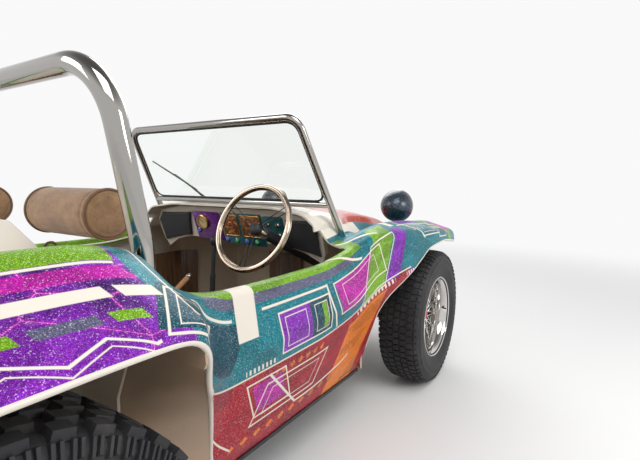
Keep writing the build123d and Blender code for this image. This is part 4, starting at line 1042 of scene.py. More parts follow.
def tyre_profile(half, tread_r, rim_half):
    """Carcass outline from the inner bead round the tread to the outer bead, then back inside."""
    shoulder = [(rim_half - 0.010, BEAD_R), (rim_half - 0.002, BEAD_R + 0.004),
                (rim_half + 0.001, BEAD_R + 0.020), (half - 0.006, 0.235), (half - 0.0025, 0.247),
                (half, 0.262), (half - 0.0005, 0.275), (half - 0.003, 0.290), (half - 0.0012, 0.293),
                (half - 0.0012, 0.297), (half - 0.005, 0.300), (half - 0.010, tread_r - 0.022),
                (half - 0.018, tread_r - 0.010), (half - 0.034, tread_r - 0.002), (half * 0.5, tread_r)]
    outer = shoulder + [(0.0, tread_r)] + [(-o, r) for o, r in reversed(shoulder)]
    inner = [(-rim_half + 0.016, BEAD_R + 0.004), (-half + 0.016, 0.262), (-half + 0.03, tread_r - 0.03),
             (half - 0.03, tread_r - 0.03), (half - 0.016, 0.262), (rim_half - 0.016, BEAD_R + 0.004)]
    return outer + inner


SPOKES, SPOKE_R, NIPPLE_R, SPOKE_END_R = 15, 0.0026, 0.0042, 0.180
NUTS, NUT_RING_R, NUT_R = 5, 0.063, 0.009
FINS, FIN_PITCH = 6, 0.008


def laced_wires(side, face, nose, chrome):
    """Four layers of crossed spokes with their nipples, and the nuts on the hub's face."""
    wires = []
    layers = [  # offset and radius at the hub, offset at the rim, phase, twist
        (nose - 0.012, 0.044, face + 0.050, 0.50, 0.30),
        (nose - 0.012, 0.044, face + 0.050, 0.00, -0.30),
        (face + 0.005, 0.076, face + 0.018, 0.25, 0.26),
        (face + 0.005, 0.076, face + 0.018, 0.75, -0.26),
    ]
    for hub_o, hub_r, rim_o, phase, twist in layers:
        for index in range(SPOKES):
            start = 2 * pi * (index + phase) / SPOKES
            foot, end = (Vector((r * sin(a), side * o, r * cos(a))) for o, r, a in
                         ((hub_o, hub_r, start), (rim_o, SPOKE_END_R, start + twist)))
            wires.append(tube("wire", [foot, end], SPOKE_R, chrome, 8))
            wires.append(tube("nipple", [foot.lerp(end, 0.90), end], NIPPLE_R, chrome, 6))
    for index in range(NUTS):
        angle = 2 * pi * (index + 0.5) / NUTS
        foot = Vector((NUT_RING_R * sin(angle), side * (face + 0.004), NUT_RING_R * cos(angle)))
        wires.append(tube("nut", [foot, foot + Vector((0, side * 0.016, 0))], NUT_R, chrome, 6))
    for wire in wires:
        for flat in wire.data.polygons:
            flat.use_smooth = len(flat.vertices) == 4 and not wire.name.startswith("nut")
    return wires


def build_wheel(row, side, rubber, chrome, iron, cap):
    """One wheel's tyre, laced rim, hub and drum."""
    name, x, y, tyre_r, half, rim_half, drum, nose = row
    tag = f"{name}_{'left' if side > 0 else 'right'}"
    centre = (x, side * y, tyre_r)
    tread, block_height = (FRONT_TREAD, 0.0065) if name == "front" else (REAR_TREAD, 0.0140)
    carcass = spun(f"carcass_{tag}", tyre_profile(half, tyre_r - block_height, rim_half), centre, rubber)
    blocks = tread_blocks(f"tread_{tag}", tread, rubber, centre)
    tyre = join(f"tyre_{tag}_dressed", [sharpen(carcass, 50), blocks])
    settle(tyre, f"tyre_{tag}", f"wheel_{tag}")

    lip = [(rim_half, RIM_R), (rim_half - 0.005, RIM_R - 0.0005), (rim_half - 0.008, RIM_R - 0.010),
           (rim_half - 0.014, BEAD_R - 0.0006)]
    inside = [(rim_half - 0.034, 0.176), (rim_half - 0.022, 0.182), (rim_half - 0.010, 0.188),
              (rim_half - 0.005, 0.197), (rim_half, 0.201), (rim_half + 0.002, 0.2045)]
    barrel = [(-o, r) for o, r in lip] + lip[::-1] + inside[::-1] + [(-o, r) for o, r in inside]
    face = drum + 0.056
    hub = [(face, 0.0), (face, 0.078), (face + 0.003, 0.080), (face + 0.006, 0.077), (face + 0.010, 0.060),
           (face + 0.020, 0.046), (nose - 0.020, 0.040), (nose - 0.014, 0.046), (nose - 0.010, 0.046),
           (nose - 0.006, 0.038), (nose - 0.004, 0.034), (nose - 0.001, 0.024), (nose, 0.0)]
    button = [(nose - 0.002, 0.0), (nose - 0.002, 0.021), (nose + 0.002, 0.019), (nose + 0.003, 0.0)]
    shell = []
    for index in range(FINS):
        fin = drum + 0.004 + index * FIN_PITCH
        shell += [(fin, 0.116), (fin + 0.004, 0.116), (fin + 0.004, 0.111), (fin + FIN_PITCH, 0.111)]
    shell += [(face, 0.108), (face, 0.060), (face - 0.006, 0.060), (face - 0.008, 0.104), (drum, 0.104),
              (drum, 0.116)]
    pieces = []
    # The hub cap's red, from cap, is a painted reflection.
    for part, profile, finish, steps, closed, crease in (
            ("rim_barrel", barrel, chrome, 128, True, 40), ("hub", hub, chrome, 64, False, 35),
            ("hub_cap", button, cap, 48, False, 35), ("brake_drum", shell, iron, 64, True, 35)):
        sided = [(side * o, r) for o, r in profile]
        pieces.append(sharpen(spun(f"{part}_{tag}", sided, centre, finish, "Y", steps, closed), crease))
    laced = join(f"wire_spokes_{tag}", laced_wires(side, face, nose, chrome))
    laced.data.transform(Matrix.Translation(centre))
    valve = tube(f"valve_{tag}", [(x + 0.176, side * (y + rim_half - 0.030), tyre_r),
                                  (x + 0.166, side * (y + rim_half - 0.004), tyre_r)], 0.004, rubber, 8)
    for piece in (*pieces, laced, valve):
        settle(piece, f"rim_{tag}", f"wheel_{tag}")


# Padded pieces

def coordinates(mesh):
    flat = np.empty(len(mesh.vertices) * 3)
    mesh.vertices.foreach_get("co", flat)
    return flat.reshape(-1, 3)


def stuffed(thing, finish, reach, voxel, smooth=4):
    """Swells a closed pad as stuffing does: cloth under pressure, held to a reach."""
    modifier(thing, "REMESH", mode="VOXEL", voxel_size=voxel)
    bake_modifiers(thing)
    before = coordinates(thing.data)
    cloth = modifier(thing, "CLOTH")
    cloth.settings.use_pressure = True
    cloth.settings.uniform_pressure_force = 4.0
    cloth.settings.effector_weights.gravity = 0.0
    for moment in range(1, 21):
        bpy.context.scene.frame_set(moment)
    graph = bpy.context.evaluated_depsgraph_get()
    move = coordinates(thing.evaluated_get(graph).data) - before
    thing.modifiers.clear()
    length = np.linalg.norm(move, axis=1, keepdims=True)
    move *= np.minimum(1.0, reach / np.maximum(length, 1e-9))
    thing.data.vertices.foreach_set("co", (before + move).ravel())
    bpy.context.scene.frame_set(1)
    modifier(thing, "SMOOTH", factor=0.6, iterations=smooth)
    modifier(thing, "SUBSURF", levels=1)
    bake_modifiers(thing)
    thing.data.materials.clear()
    thing.data.materials.append(finish.material)
    for face in thing.data.polygons:
        face.use_smooth = True
    return thing


def pressed(thing, depth_at):
    """Sews channels: each point sinks along its normal by depth_at(point, normal)."""
    mesh = thing.data
    points = coordinates(mesh)
    normals = np.array([vertex.normal for vertex in mesh.vertices])
    points -= normals * depth_at(points, normals)[:, None]
    mesh.vertices.foreach_set("co", points.ravel())
    mesh.update()
    return thing


def groove(distance, depth, width):
    """How deep a stitched line pulls the cover in, at a distance from it."""
    return depth * np.exp(-(distance / width)**2)


CUSHION = [(-0.052, 0.236), (-0.064, 0.330), (-0.098, 0.348), (-0.395, 0.308), (-0.420, 0.316),
           (-0.420, 0.236)]
BACKREST = [(-0.442, 0.240), (-0.442, 0.330), (-0.511, 0.600), (-0.585, 0.872), (-0.614, 0.872),
            (-0.566, 0.600), (-0.490, 0.240)]
CUSHION_Y, BACKREST_Y = (0.095, 0.490), (0.095, 0.455)  # inner and outer sides
ROLL_X, ROLL_Z, ROLL_R = -0.600, 0.962, 0.061
ROLL = [(0.172, 0.0), (0.170, 0.040), (0.172, 0.052), (0.180, 0.0585), (0.192, ROLL_R), (0.438, ROLL_R),
        (0.450, 0.0585), (0.458, 0.052), (0.460, 0.040), (0.458, 0.0)]
SEAT_REACH, ROLL_REACH, PAD_REACH = 0.009, 0.0035, 0.004  # how far each kind of pad may swell


def seat_taper(z):
    """The backrest's inner side, which leans outwards above the waist."""
    return BACKREST_Y[0] + max(0.0, z - 0.600) * 0.27


def seat_pad(name, outline, inner_at, outer, suede):
    """A stuffed pad from its (x, z) outline; its inner side may lean with the height."""
    sides = [(x, inner_at(z), z) for x, z in outline], [(x, outer, z) for x, z in outline]
    return stuffed(softened(extruded(name, *sides, suede), 0.010), suede, SEAT_REACH, 0.008)


def channels(first, pitch, inside):
    """Sewn channels that run across a seat's y, where inside(points, normals) holds."""
    def depth(points, normals):
        share = (points[:, 1] - first) / pitch
        return groove(np.abs(share - np.round(share)) * pitch, 0.005, 0.005) * inside(points, normals)
    return depth


def on_cushion(points, normals):
    across = (points[:, 1] > 0.12) & (points[:, 1] < 0.465)
    return across & (points[:, 0] < -0.085) & (normals[:, 2] > 0.5)


def on_backrest(points, normals):
    across = (points[:, 1] > 0.15) & (points[:, 1] < 0.43)
    return across & (points[:, 2] < 0.78) & (normals[:, 0] > 0.5)


def roll_seams(points, normals):
    """The piped seams round a roll and the stitching on its ends."""
    seam = np.minimum(np.abs(points[:, 1] - 0.196), np.abs(points[:, 1] - 0.434))
    reach = np.hypot(points[:, 0] - ROLL_X, points[:, 2] - ROLL_Z)
    return groove(seam, 0.0022, 0.004) + groove(reach - 0.047, 0.0015, 0.004)


def build_seats(suede, piping):
    """Two seats and their head rolls: simulated on the left, mirrored to the right."""
    cushion = seat_pad("seat_cushion_left", CUSHION, lambda z: CUSHION_Y[0], CUSHION_Y[1], suede)
    backrest = seat_pad("seat_back_left", BACKREST, seat_taper, BACKREST_Y[1], suede)
    pressed(cushion, channels(0.145, 0.059, on_cushion))
    pressed(backrest, channels(0.175, 0.050, on_backrest))
    roll = spun("head_roll_left", ROLL, (ROLL_X, 0, ROLL_Z), suede, steps=64, closed=False)
    pressed(stuffed(roll, suede, ROLL_REACH, 0.005), roll_seams)
    trims, turns = [], np.linspace(0, 2 * pi, 72)[:-1]
    for y in (0.178, 0.452):
        line = [(ROLL_X + 0.0595 * cos(t), y, ROLL_Z + 0.0595 * sin(t)) for t in turns]
        trims.append(tube("roll_piping", line, 0.0032, piping, 8, closed=True))
    roll_trim = join("roll_piping_left", trims)
    trims = []
    for outline, side_at in ((CUSHION, lambda z: CUSHION_Y[0] + 0.003),
                             (CUSHION, lambda z: CUSHION_Y[1] - 0.003),
                             (BACKREST, lambda z: seat_taper(z) + 0.004),
                             (BACKREST, lambda z: BACKREST_Y[1] - 0.003)):
        seam = ring_line([(x, side_at(z), z) for x, z in outline], 0.02)
        trims.append(tube("seat_piping", seam, 0.0035, piping, 8, closed=True))
    seat_trim = join("seat_piping_left", trims)
    for left, node in ((cushion, "seats"), (backrest, "seats"), (roll, "head_rolls"),
                       (roll_trim, "head_rolls"), (seat_trim, "seats")):
        for thing in both(left):
            settle(thing, node)
            left not in (roll_trim, seat_trim)


# Dash

DASH_SLOPE, DASH_TOP_Z, DASH_TOP_X = 0.35, 0.930, 0.240
DASH_LEAN = atan2(DASH_SLOPE, 1.0)


def dash_point(y, z, out=0.0):
    """A point on the raked dash, a distance out of it towards the seats."""
    return Vector((DASH_TOP_X + DASH_SLOPE * (DASH_TOP_Z - z) - out * cos(DASH_LEAN), y,
                   z - out * sin(DASH_LEAN)))


def dash_slab(name, outline, low, high, finish, bevel=0.0015):
    """A plate on the dash from its (y, z) outline, between two heights above it."""
    faces_at = ([dash_point(y, z, height) for y, z in outline] for height in (low, high))
    return sharpen(softened(extruded(name, *faces_at, finish), bevel, 2), 40)


def dash_turned(name, profile, y, z, finish, steps=40):
    """A turned fitting standing on the dash: (height, radius) points."""
    made = spun(name, profile, (0, 0, 0), finish, "X", steps, False)
    turn = Matrix.Rotation(-DASH_LEAN, 4, "Y") @ Matrix.Diagonal((-1, 1, 1, 1))
    made.data.transform(Matrix.Translation(dash_point(y, z)) @ turn)
    return sharpen(fix_normals(made), 35)


def plain_plate(y0, y1, z0, z1, cut=0.006):
    """A rectangle with clipped corners."""
    return [(y0 + cut, z0), (y1 - cut, z0), (y1, z0 + cut), (y1, z1 - cut), (y1 - cut, z1), (y0 + cut, z1),
            (y0, z1 - cut), (y0, z0 + cut)]


INSETS = {
    "dash_pad_left": [(0.233, 0.897), (0.447, 0.887), (0.489, 0.846), (0.484, 0.733), (0.325, 0.767),
                      (0.269, 0.774)],
    "dash_pad_right": [(-0.331, 0.889), (-0.447, 0.887), (-0.489, 0.846), (-0.484, 0.733), (-0.331, 0.761),
                       (-0.323, 0.790)],
}
GAUGE_Y, GAUGE_Z = 0.162, 0.851
RELIEF_Z, RELIEF_RINGS = 0.843, ((0.036, 0.0030), (0.026, 0.0022), (0.012, 0.0034))  # radius, bead radius


def copper_plate(index, y0, y1, copper, brass):
    """A hammered plate in a brass frame, with three scalloped rings in relief."""
    pieces = [dash_slab(f"copper_plate_{index}", plain_plate(y0, y1, 0.792, 0.894, 0.004), 0.004, 0.0073,
                        copper)]
    edge = [dash_point(y, z, 0.0073) for y, z in plain_plate(y0 + 0.003, y1 - 0.003, 0.795, 0.891, 0.004)]
    pieces.append(tube(f"copper_frame_{index}", ring_line(edge, 0.003, 3), 0.0022, brass, 8, closed=True))
    turns = np.linspace(0, 2 * pi, 97)[:-1]
    for ring, (radius, size) in enumerate(RELIEF_RINGS):
        reaches = [radius * (1 + 0.14 * cos(6 * t + ring)) for t in turns]
        line = [dash_point((y0 + y1) / 2 + reach * cos(t), RELIEF_Z + reach * sin(t), 0.0068)
                for t, reach in zip(turns, reaches)]
        pieces.append(tube(f"copper_relief_{index}_{ring}", line, size, copper, 8, closed=True))
    return pieces


def gauge(brass, dial, black):
    """A round gauge: brass bezel, plain face, eleven ticks and a needle."""
    bezel = [(0.004, 0.037), (0.014, 0.037), (0.017, 0.034), (0.017, 0.030), (0.011, 0.0285)]

    def hand(angle, reaches, height):
        return [dash_point(GAUGE_Y - r * sin(angle), GAUGE_Z + r * cos(angle), height) for r in reaches]

    pieces = [dash_turned("gauge_bezel", bezel, GAUGE_Y, GAUGE_Z, brass, 64),
              dash_turned("gauge_face", [(0.0105, 0.0), (0.0105, 0.0288)], GAUGE_Y, GAUGE_Z, dial, 64)]
    marks = [tube("tick", hand(radians(-130 + 26 * index), (0.021, 0.026), 0.0112), 0.0006, black, 5)
             for index in range(11)]
    marks.append(tube("needle", hand(-0.9, (-0.005, 0.022), 0.0125), [0.0013, 0.0004], black, 6))
    return pieces + [join("gauge_marks", marks)]


def build_dash(vinyl, violet, teal, copper, brass, chrome, dial, blue, green, black):
    """Padded insets, flake plates, a gauge, buttons and two hammered copper plates."""
    for name, outline in INSETS.items():
        pad = stuffed(dash_slab(name, outline, 0.0005, 0.009, vinyl, 0.002), vinyl, PAD_REACH, 0.003, 1)
        settle(pad, "dash_pads")
    plates = [("gauge_plate", (0.050, 0.227, 0.765, 0.899), violet),
              ("wide_plate", (-0.202, 0.044, 0.752, 0.899), teal),
              ("end_plate", (-0.318, -0.208, 0.780, 0.894), teal)]
    pieces = [dash_slab(name, plain_plate(*limits), 0.0003, 0.0043, flake) for name, limits, flake in plates]
    for index, (y0, y1) in enumerate(((-0.062, 0.034), (-0.196, -0.078))):
        pieces += copper_plate(index, y0, y1, copper, brass)
    pieces += gauge(brass, dial, black)
    button = [(0.003, 0.0105), (0.008, 0.0105), (0.010, 0.0085), (0.013, 0.0060), (0.0142, 0.0)]
    collar = [(0.003, 0.0125), (0.0065, 0.0125), (0.0075, 0.0105)]
    places = [(0.204, 0.806, blue), (0.030, 0.771, blue), (-0.030, 0.771, green), (-0.090, 0.771, blue),
              (-0.150, 0.771, green)]
    for index, (y, z, tint) in enumerate(places):
        pieces.append(dash_turned(f"button_{index}", button, y, z, tint))
        pieces.append(dash_turned(f"button_collar_{index}", collar, y, z, chrome))
    knob = [(0.003, 0.012), (0.012, 0.012), (0.016, 0.009), (0.018, 0.0)]
    for index, (y, z) in enumerate(((-0.236, 0.860), (-0.290, 0.860), (-0.236, 0.815), (-0.290, 0.815))):
        pieces.append(dash_turned(f"end_knob_{index}", knob, y, z, chrome))
    for piece in pieces:
        settle(piece, "dash_plates")


# Controls, lamps and trim

STEER_CENTRE = Vector((0.068, -0.316, 0.866))
STEER_TILT = radians(23.9986)
STEER_R, STEER_RIM_R = 0.167, 0.0118
SPOKE_ANGLES = (90, 210, 330)


def build_steering(metal, black):
    """A thin ridged rim on three pairs of wire spokes."""
    ahead = Vector((cos(STEER_TILT), 0, -sin(STEER_TILT)))
    across = Vector((0, -1, 0))
    up = ahead.cross(across)
    steps, sides = 120, 30
    verts = []
    for turn in (2 * pi * step / steps for step in range(steps)):
        outward = across * cos(turn) + up * sin(turn)
        for angle in (2 * pi * side / sides for side in range(sides)):
            size = STEER_RIM_R + 0.0011 * cos(6 * angle)
            verts.append(STEER_CENTRE + outward * (STEER_R + size * cos(angle)) + ahead * size * sin(angle))
    rim = fix_normals(new_object("steering_rim", verts, grid_faces(steps, sides, True), metal))
    wires = []
    for turn in map(radians, SPOKE_ANGLES):
        outward = across * cos(turn) + up * sin(turn)
        beside = across * -sin(turn) + up * cos(turn)
        for offset in (-0.012, 0.012):
            ends = [STEER_CENTRE + outward * 0.022 + beside * offset * 0.6 + ahead * 0.014,
                    STEER_CENTRE + outward * 0.160 + beside * offset]
            wires.append(tube("spoke", ends, 0.0019, black, 8))
    profile = [(0.000, 0.0), (0.0, 0.014), (0.004, 0.020), (0.008, 0.024), (0.020, 0.026), (0.024, 0.022),
               (0.036, 0.020)]
    hub = spun("steering_hub", profile, (0, 0, 0), black, "X", 48, False)
    hub.data.transform(Matrix.Translation(STEER_CENTRE) @ Matrix.Rotation(STEER_TILT, 4, "Y"))
    shaft = tube("steering_shaft", [STEER_CENTRE + ahead * 0.030, STEER_CENTRE + ahead * 0.930], 0.0098,
                 metal, 20)
    for piece in (rim, join("steering_spokes", wires), sharpen(fix_normals(hub)), shaft):
        settle(piece, "steering_wheel", "steering_wheel")


LAMP_CENTRE, TAIL_Y, TAIL_Z, TAIL_X = Vector((1.192, 0.445, 0.907)), 0.640, 0.760, -1.4005
LAMP_BOWL = [(-0.1195, 0.0), (-0.117, 0.020), (-0.108, 0.040), (-0.092, 0.060), (-0.068, 0.077),
             (-0.040, 0.0885), (-0.012, 0.0925), (-0.004, 0.0925), (-0.004, 0.080), (-0.030, 0.070),
             (-0.060, 0.040), (-0.070, 0.0)]
LAMP_BEZEL = [(-0.006, 0.0925), (-0.003, 0.0938), (0.006, 0.0938), (0.011, 0.091), (0.012, 0.087),
              (0.009, 0.084), (0.002, 0.084), (-0.006, 0.086)]
LAMP_LENS = [(0.0005, 0.0835), (0.004, 0.0835), (0.0085, 0.060), (0.0105, 0.030), (0.011, 0.0)]
LAMP_FOOT = [(0.752, 0.0), (0.753, 0.028), (0.748, 0.031), (0.738, 0.031)]
LAMP_STALK = [Vector((-0.030, 0, -0.166)), Vector((-0.030, 0, -0.120)), Vector((-0.031, 0, -0.085))]
TAIL_RING = [(TAIL_X, 0.0375), (-1.418, 0.0375), (-1.421, 0.035), (-1.421, 0.031), (-1.417, 0.030)]
TAIL_DOME = [(TAIL_X, 0.031)] + [(-1.418 - 0.018 * (1 - t * t) + 0.0006 * cos(40 * t), 0.031 * t)
                                 for t in np.linspace(1, 0, 22)]  # a ribbed dome


def build_lamps(shell_paint, chrome, glass, red):
    """Headlamps on stalks and round tail lamps."""
    centre = LAMP_CENTRE
    foot, tail = (centre.x - 0.030, centre.y, 0), (0, TAIL_Y, TAIL_Z)
    shell = spun("lamp_shell_left", LAMP_BOWL, centre, shell_paint, "X", 72, False)
    bezel = spun("lamp_bezel_left", LAMP_BEZEL, centre, chrome, "X", 72)
    lens = spun("lamp_lens_left", LAMP_LENS, centre, glass, "X", 72, False)
    post = tube("lamp_post_left", [centre + point for point in LAMP_STALK], 0.0125, chrome, 20)
    cup = spun("lamp_foot_left", LAMP_FOOT, foot, chrome, "Z", 40, False)
    ring = spun("tail_bezel_left", TAIL_RING, tail, chrome, "X", 48, False)
    dome = spun("tail_lens_left", TAIL_DOME, tail, red, "X", 48, False)
    for left, node, slot in (
            (sharpen(shell, 40), "headlamps", "chrome"), (sharpen(bezel, 50), "headlamps", "chrome"),
            (lens, "headlamp_glass", "glass_clear"), (post, "headlamps", "chrome"),
            (sharpen(cup), "headlamps", "chrome"), (sharpen(ring), "tail_lamps", "lens_red"),
            (dome, "tail_lamps", "lens_red")):
        for thing in both(left):
            settle(thing, node)


SCREEN_FOOT, SCREEN_RISE, SCREEN_OUT = Vector((0.290, 0, 0.950)), Vector((-0.172, 0, 0.328)), (0.886, 0.464)


def screen_at(y, share, out=0.0):
    """A point on the windscreen's plane: a share of the way up it, and a distance in front of it."""
    ahead, up = SCREEN_OUT
    return SCREEN_FOOT + SCREEN_RISE * share + Vector((ahead * out, y, up * out))


def build_seal(rubber):
    """The rubber that holds the screen's glass."""
    corners = [screen_at(y, share) for y, share in
               ((-0.513, 0.045), (-0.474, 0.952), (0.474, 0.952), (0.513, 0.045))]
    seal = tube("screen_seal", ring_line(corners, 0.050, 7), 0.0048, rubber, 10, closed=True)
    settle(seal, None)


BOOT = [(0.346, 0.055), (0.352, 0.052), (0.356, 0.044), (0.362, 0.047), (0.370, 0.037), (0.377, 0.040),
        (0.386, 0.029), (0.393, 0.031), (0.404, 0.021), (0.416, 0.016), (0.424, 0.010)]
KNOB = [(0.755, 0.008), (0.759, 0.013), (0.766, 0.017), (0.776, 0.0195), (0.786, 0.0185), (0.794, 0.014),
        (0.799, 0.007), (0.800, 0.0)]
LEVER = [(0.150, 0, 0.38), (0.151, 0, 0.47), (0.156, 0, 0.56), (0.164, 0, 0.67), (0.172, 0, 0.762)]
HANDBRAKE_Y = -0.060
HANDBRAKE = [(-0.230, 0.378), (-0.186, 0.480), (-0.140, 0.572), (-0.100, 0.610), (-0.020, 0.664)]  # x, z
GRIP = [(-0.138, 0.576), (-0.100, 0.610), (-0.034, 0.655)]
GRIP_TIP = [(-0.034, 0.655), (-0.026, 0.6605), (-0.018, 0.666)]


def build_lever(black, rubber):
    """The gear lever: pleated boot, a rod that is thicker in its middle, and a knob."""
    boot = spun("lever_boot", BOOT, (LEVER[0][0], 0, 0), rubber, "Z", 40, False)
    sizes = [0.0118 if 0.25 < t < 0.66 else 0.0092 for t in np.linspace(0, 1, 40)]
    rod = tube("lever_rod", spline(LEVER, 40), sizes, black, 16)
    knob = spun("lever_knob", KNOB, (LEVER[-1][0], 0, 0), black, "Z", 40, False)
    for piece in (boot, rod, knob):
        settle(piece, "gear_lever")


def build_handbrake(leather, chrome, black):
    """The handbrake: a bent rod, a ribbed grip and a block at its foot."""
    rod, grip, tip = ([(x, HANDBRAKE_Y, z) for x, z in line] for line in (HANDBRAKE, GRIP, GRIP_TIP))
    ribs = [0.0102 + 0.0009 * cos(index * 1.05) for index in range(60)]
    foot = (-0.290, HANDBRAKE_Y - 0.018, 0.3453), (-0.170, HANDBRAKE_Y + 0.018, 0.385)
    for piece in (tube("handbrake_rod", spline(rod, 40), 0.0075, chrome, 16),
                  tube("handbrake_grip", spline(grip, 60), ribs, leather, 20),
                  tube("handbrake_tip", tip, [0.0100, 0.0108, 0.0085], chrome, 20),
                  block("handbrake_foot", *foot, black, 0.004)):
        settle(piece, "handbrake")


def wall_board(name, wood):
    """A board along the cockpit's side and round on to the slanting footwell wall."""
    inner = [(0.290, 0.572), (0.466, 0.572), (0.4926, 0.5492), (0.530, 0.509)]
    outer = [(0.290, 0.578), (0.4685, 0.578), (0.4968, 0.5535), (0.5344, 0.5131)]
    ends = ([(x, y, z) for x, y in inner + outer[::-1]] for z in (0.235, 0.645))
    return sharpen(softened(extruded(name, *ends, wood, smooth=False), 0.0012, 2))


def pillar_panel(name, cream):
    """Closes the side between the footwell's edge and the wing, ahead of the cockpit's opening."""
    back, front, inner_y = 0.4745, 0.4785, 0.584
    heights = span(0.236, 0.800, 0.02)
    verts = []
    for z in heights:
        back_y, front_y = (flank_y(outer_flank, x, z) - 0.010 for x in (back, front))
        verts += [(back, inner_y, z), (back, back_y, z), (front, front_y, z), (front, inner_y, z)]
    return sharpen(fix_normals(new_object(name, verts, capped(len(heights), 4), cream)))


def build_boards(wood, cream):
    """The boards in the footwell and the panels beside it."""
    board = block("front_board", (0.6795, -0.120, 0.360), (0.6862, 0.097, 0.655), wood, 0.002)
    # The pillar panels are given the dark tan gelcoat, darkened as painted shade.
    sides = wall_board("side_board_left", wood), pillar_panel("pillar_panel_left", cream)
    for piece in (board, *both(sides[0]), *both(sides[1])):
        settle(piece, None)


def build_wiper(black, rubber):
    """A sprung arm on its spindle and a rubber blade lying on the screen."""
    parts = [  # name, points on the screen, their radii, finish, sides
        ("wiper_spindle", ((0.201, 0.0, 0.012), (0.201, 0.0, 0.0264), (0.201, 0.0, 0.030)),
         [0.0088, 0.0088, 0.0060], black, 20),
        ("wiper_arm", ((0.201, 0.0, 0.026), (0.262, 0.170, 0.023), (0.330, 0.360, 0.014)),
         [0.0062, 0.0044, 0.0036], black, 10),
        ("wiper_blade", ((0.210, 0.140, 0.0075), (0.325, 0.350, 0.0085), (0.440, 0.560, 0.0075)),
         [0.0034, 0.0042, 0.0034], rubber, 8),
    ]
    for name, points, radii, finish, sides in parts:
        piece = tube(name, [screen_at(*point) for point in points], radii, finish, sides)
        settle(piece, "wiper")


# Stage and camera

SEEN_RAYS = ("Is Glossy Ray", "Is Transmission Ray", "Is Camera Ray")  # rays that meet the bright surround
CEILING = ((0.0, 0.95), (0.42, 0.95), (0.62, 0.50), (0.85, 0.22), (1.0, 0.16))  # height, grey
LAMPS = [  # place, aim, size, power
    ((-1.5, -2.5, 4.2), (0.0, -0.3, 0.5), 3.0, 110.0),
    ((3.2, 1.5, 3.6), (0.2, 0, 0.5), 3.0, 80.0),
    ((-3.6, 2.4, 3.0), (-0.6, 0, 0.5), 2.0, 60.0),
    ((1.0, -4.4, 1.9), (0.3, 0, 0.5), 1.4, 45.0),
]
FLOOR_HALF = 14


def build_floor():
    """A pale floor that fades into the surround."""
    finish = Finish("pale_floor", Roughness=0.75)
    finish.show(Base_Color=finish.mix(finish.noise(3.0, 5.0) * 0.3, (0.84, 0.83, 0.81), (0.80, 0.79, 0.77)))
    backdrop = finish.node("ShaderNodeEmission", {}, {"Color": (0.95, 0.95, 0.95), "Strength": 1.0})
    glossy, through, camera = (finish.node("ShaderNodeLightPath", {}, {}, ray) for ray in SEEN_RAYS)
    reach = finish.node("ShaderNodeVectorMath", {"operation": "LENGTH"}, {0: finish.place()}, 1)
    fade = reach.ramp(2.6, 7.0) * camera.most(glossy).most(through)
    blend = finish.node("ShaderNodeMixShader", {}, {0: fade, 1: finish.surface, 2: backdrop})
    finish.put(finish.output.inputs[0], blend)
    corners = [(x * FLOOR_HALF, y * FLOOR_HALF, 0) for x, y in ((-1, -1), (1, -1), (1, 1), (-1, 1))]
    new_object("floor", corners, [(0, 1, 2, 3)], finish)


def build_surround():
    """Soft even light, and a white room with a darker ceiling for what mirrors it."""
    world = bpy.data.worlds.new("studio")
    bpy.context.scene.world = world
    world.use_nodes = True
    sky = Nodes(world.node_tree)
    height = sky.parts(sky.node("ShaderNodeTexCoord", {}, {}, "Generated"))[2]
    stops = [(where, (grey, grey, grey)) for where, grey in CEILING]
    ceiling = sky.node("ShaderNodeValToRGB", {"stops": stops}, {0: height})
    room = sky.node("ShaderNodeBackground", {}, {0: ceiling})
    shown = sky.node("ShaderNodeBackground", {}, {0: (0.93, 0.95, 1.0), 1: 0.55})
    for ray in SEEN_RAYS:
        seen = sky.node("ShaderNodeLightPath", {}, {}, ray)
        shown = sky.node("ShaderNodeMixShader", {}, {0: seen, 1: shown, 2: room})
    sky.end("ShaderNodeOutputWorld", shown)


def build_lights():
    for index, (where, aim, size, power) in enumerate(LAMPS):
        light = bpy.data.lights.new(f"lamp_{index}", "AREA")
        light.shape, light.size, light.energy = "SQUARE", size, power
        thing = bpy.data.objects.new(f"lamp_{index}", light)
        thing.location = where
        thing.rotation_euler = (Vector(aim) - Vector(where)).to_track_quat("-Z", "Y").to_euler()
        bpy.context.scene.collection.objects.link(thing)


CAMERA_AT, YAW, PITCH, ROLL_ANGLE = (-1.208, -1.430, 1.044), 0.564, 0.1105, 0.0088
SENSOR_WIDTH, FOCAL_LENGTH = 36.0, 24.64


def build_camera():
    """The photograph's viewpoint: right rear quarter, about a metre off the ground."""
    ahead = Vector((cos(YAW) * cos(PITCH), sin(YAW) * cos(PITCH), -sin(PITCH)))
    right = Vector((sin(YAW), -cos(YAW), 0))
    up = right.cross(ahead)
    right, up = (right * cos(ROLL_ANGLE) + up * sin(ROLL_ANGLE),
                 up * cos(ROLL_ANGLE) - right * sin(ROLL_ANGLE))
    lens = bpy.data.cameras.new("camera")
    lens.sensor_width, lens.lens, lens.clip_start = SENSOR_WIDTH, FOCAL_LENGTH, 0.02
    thing = bpy.data.objects.new("camera", lens)
    thing.matrix_world = Matrix.Translation(CAMERA_AT) @ Matrix((right, up, -ahead)).transposed().to_4x4()
    bpy.context.scene.collection.objects.link(thing)
    bpy.context.scene.camera = thing
    bpy.context.scene.view_settings.view_transform = "Standard"


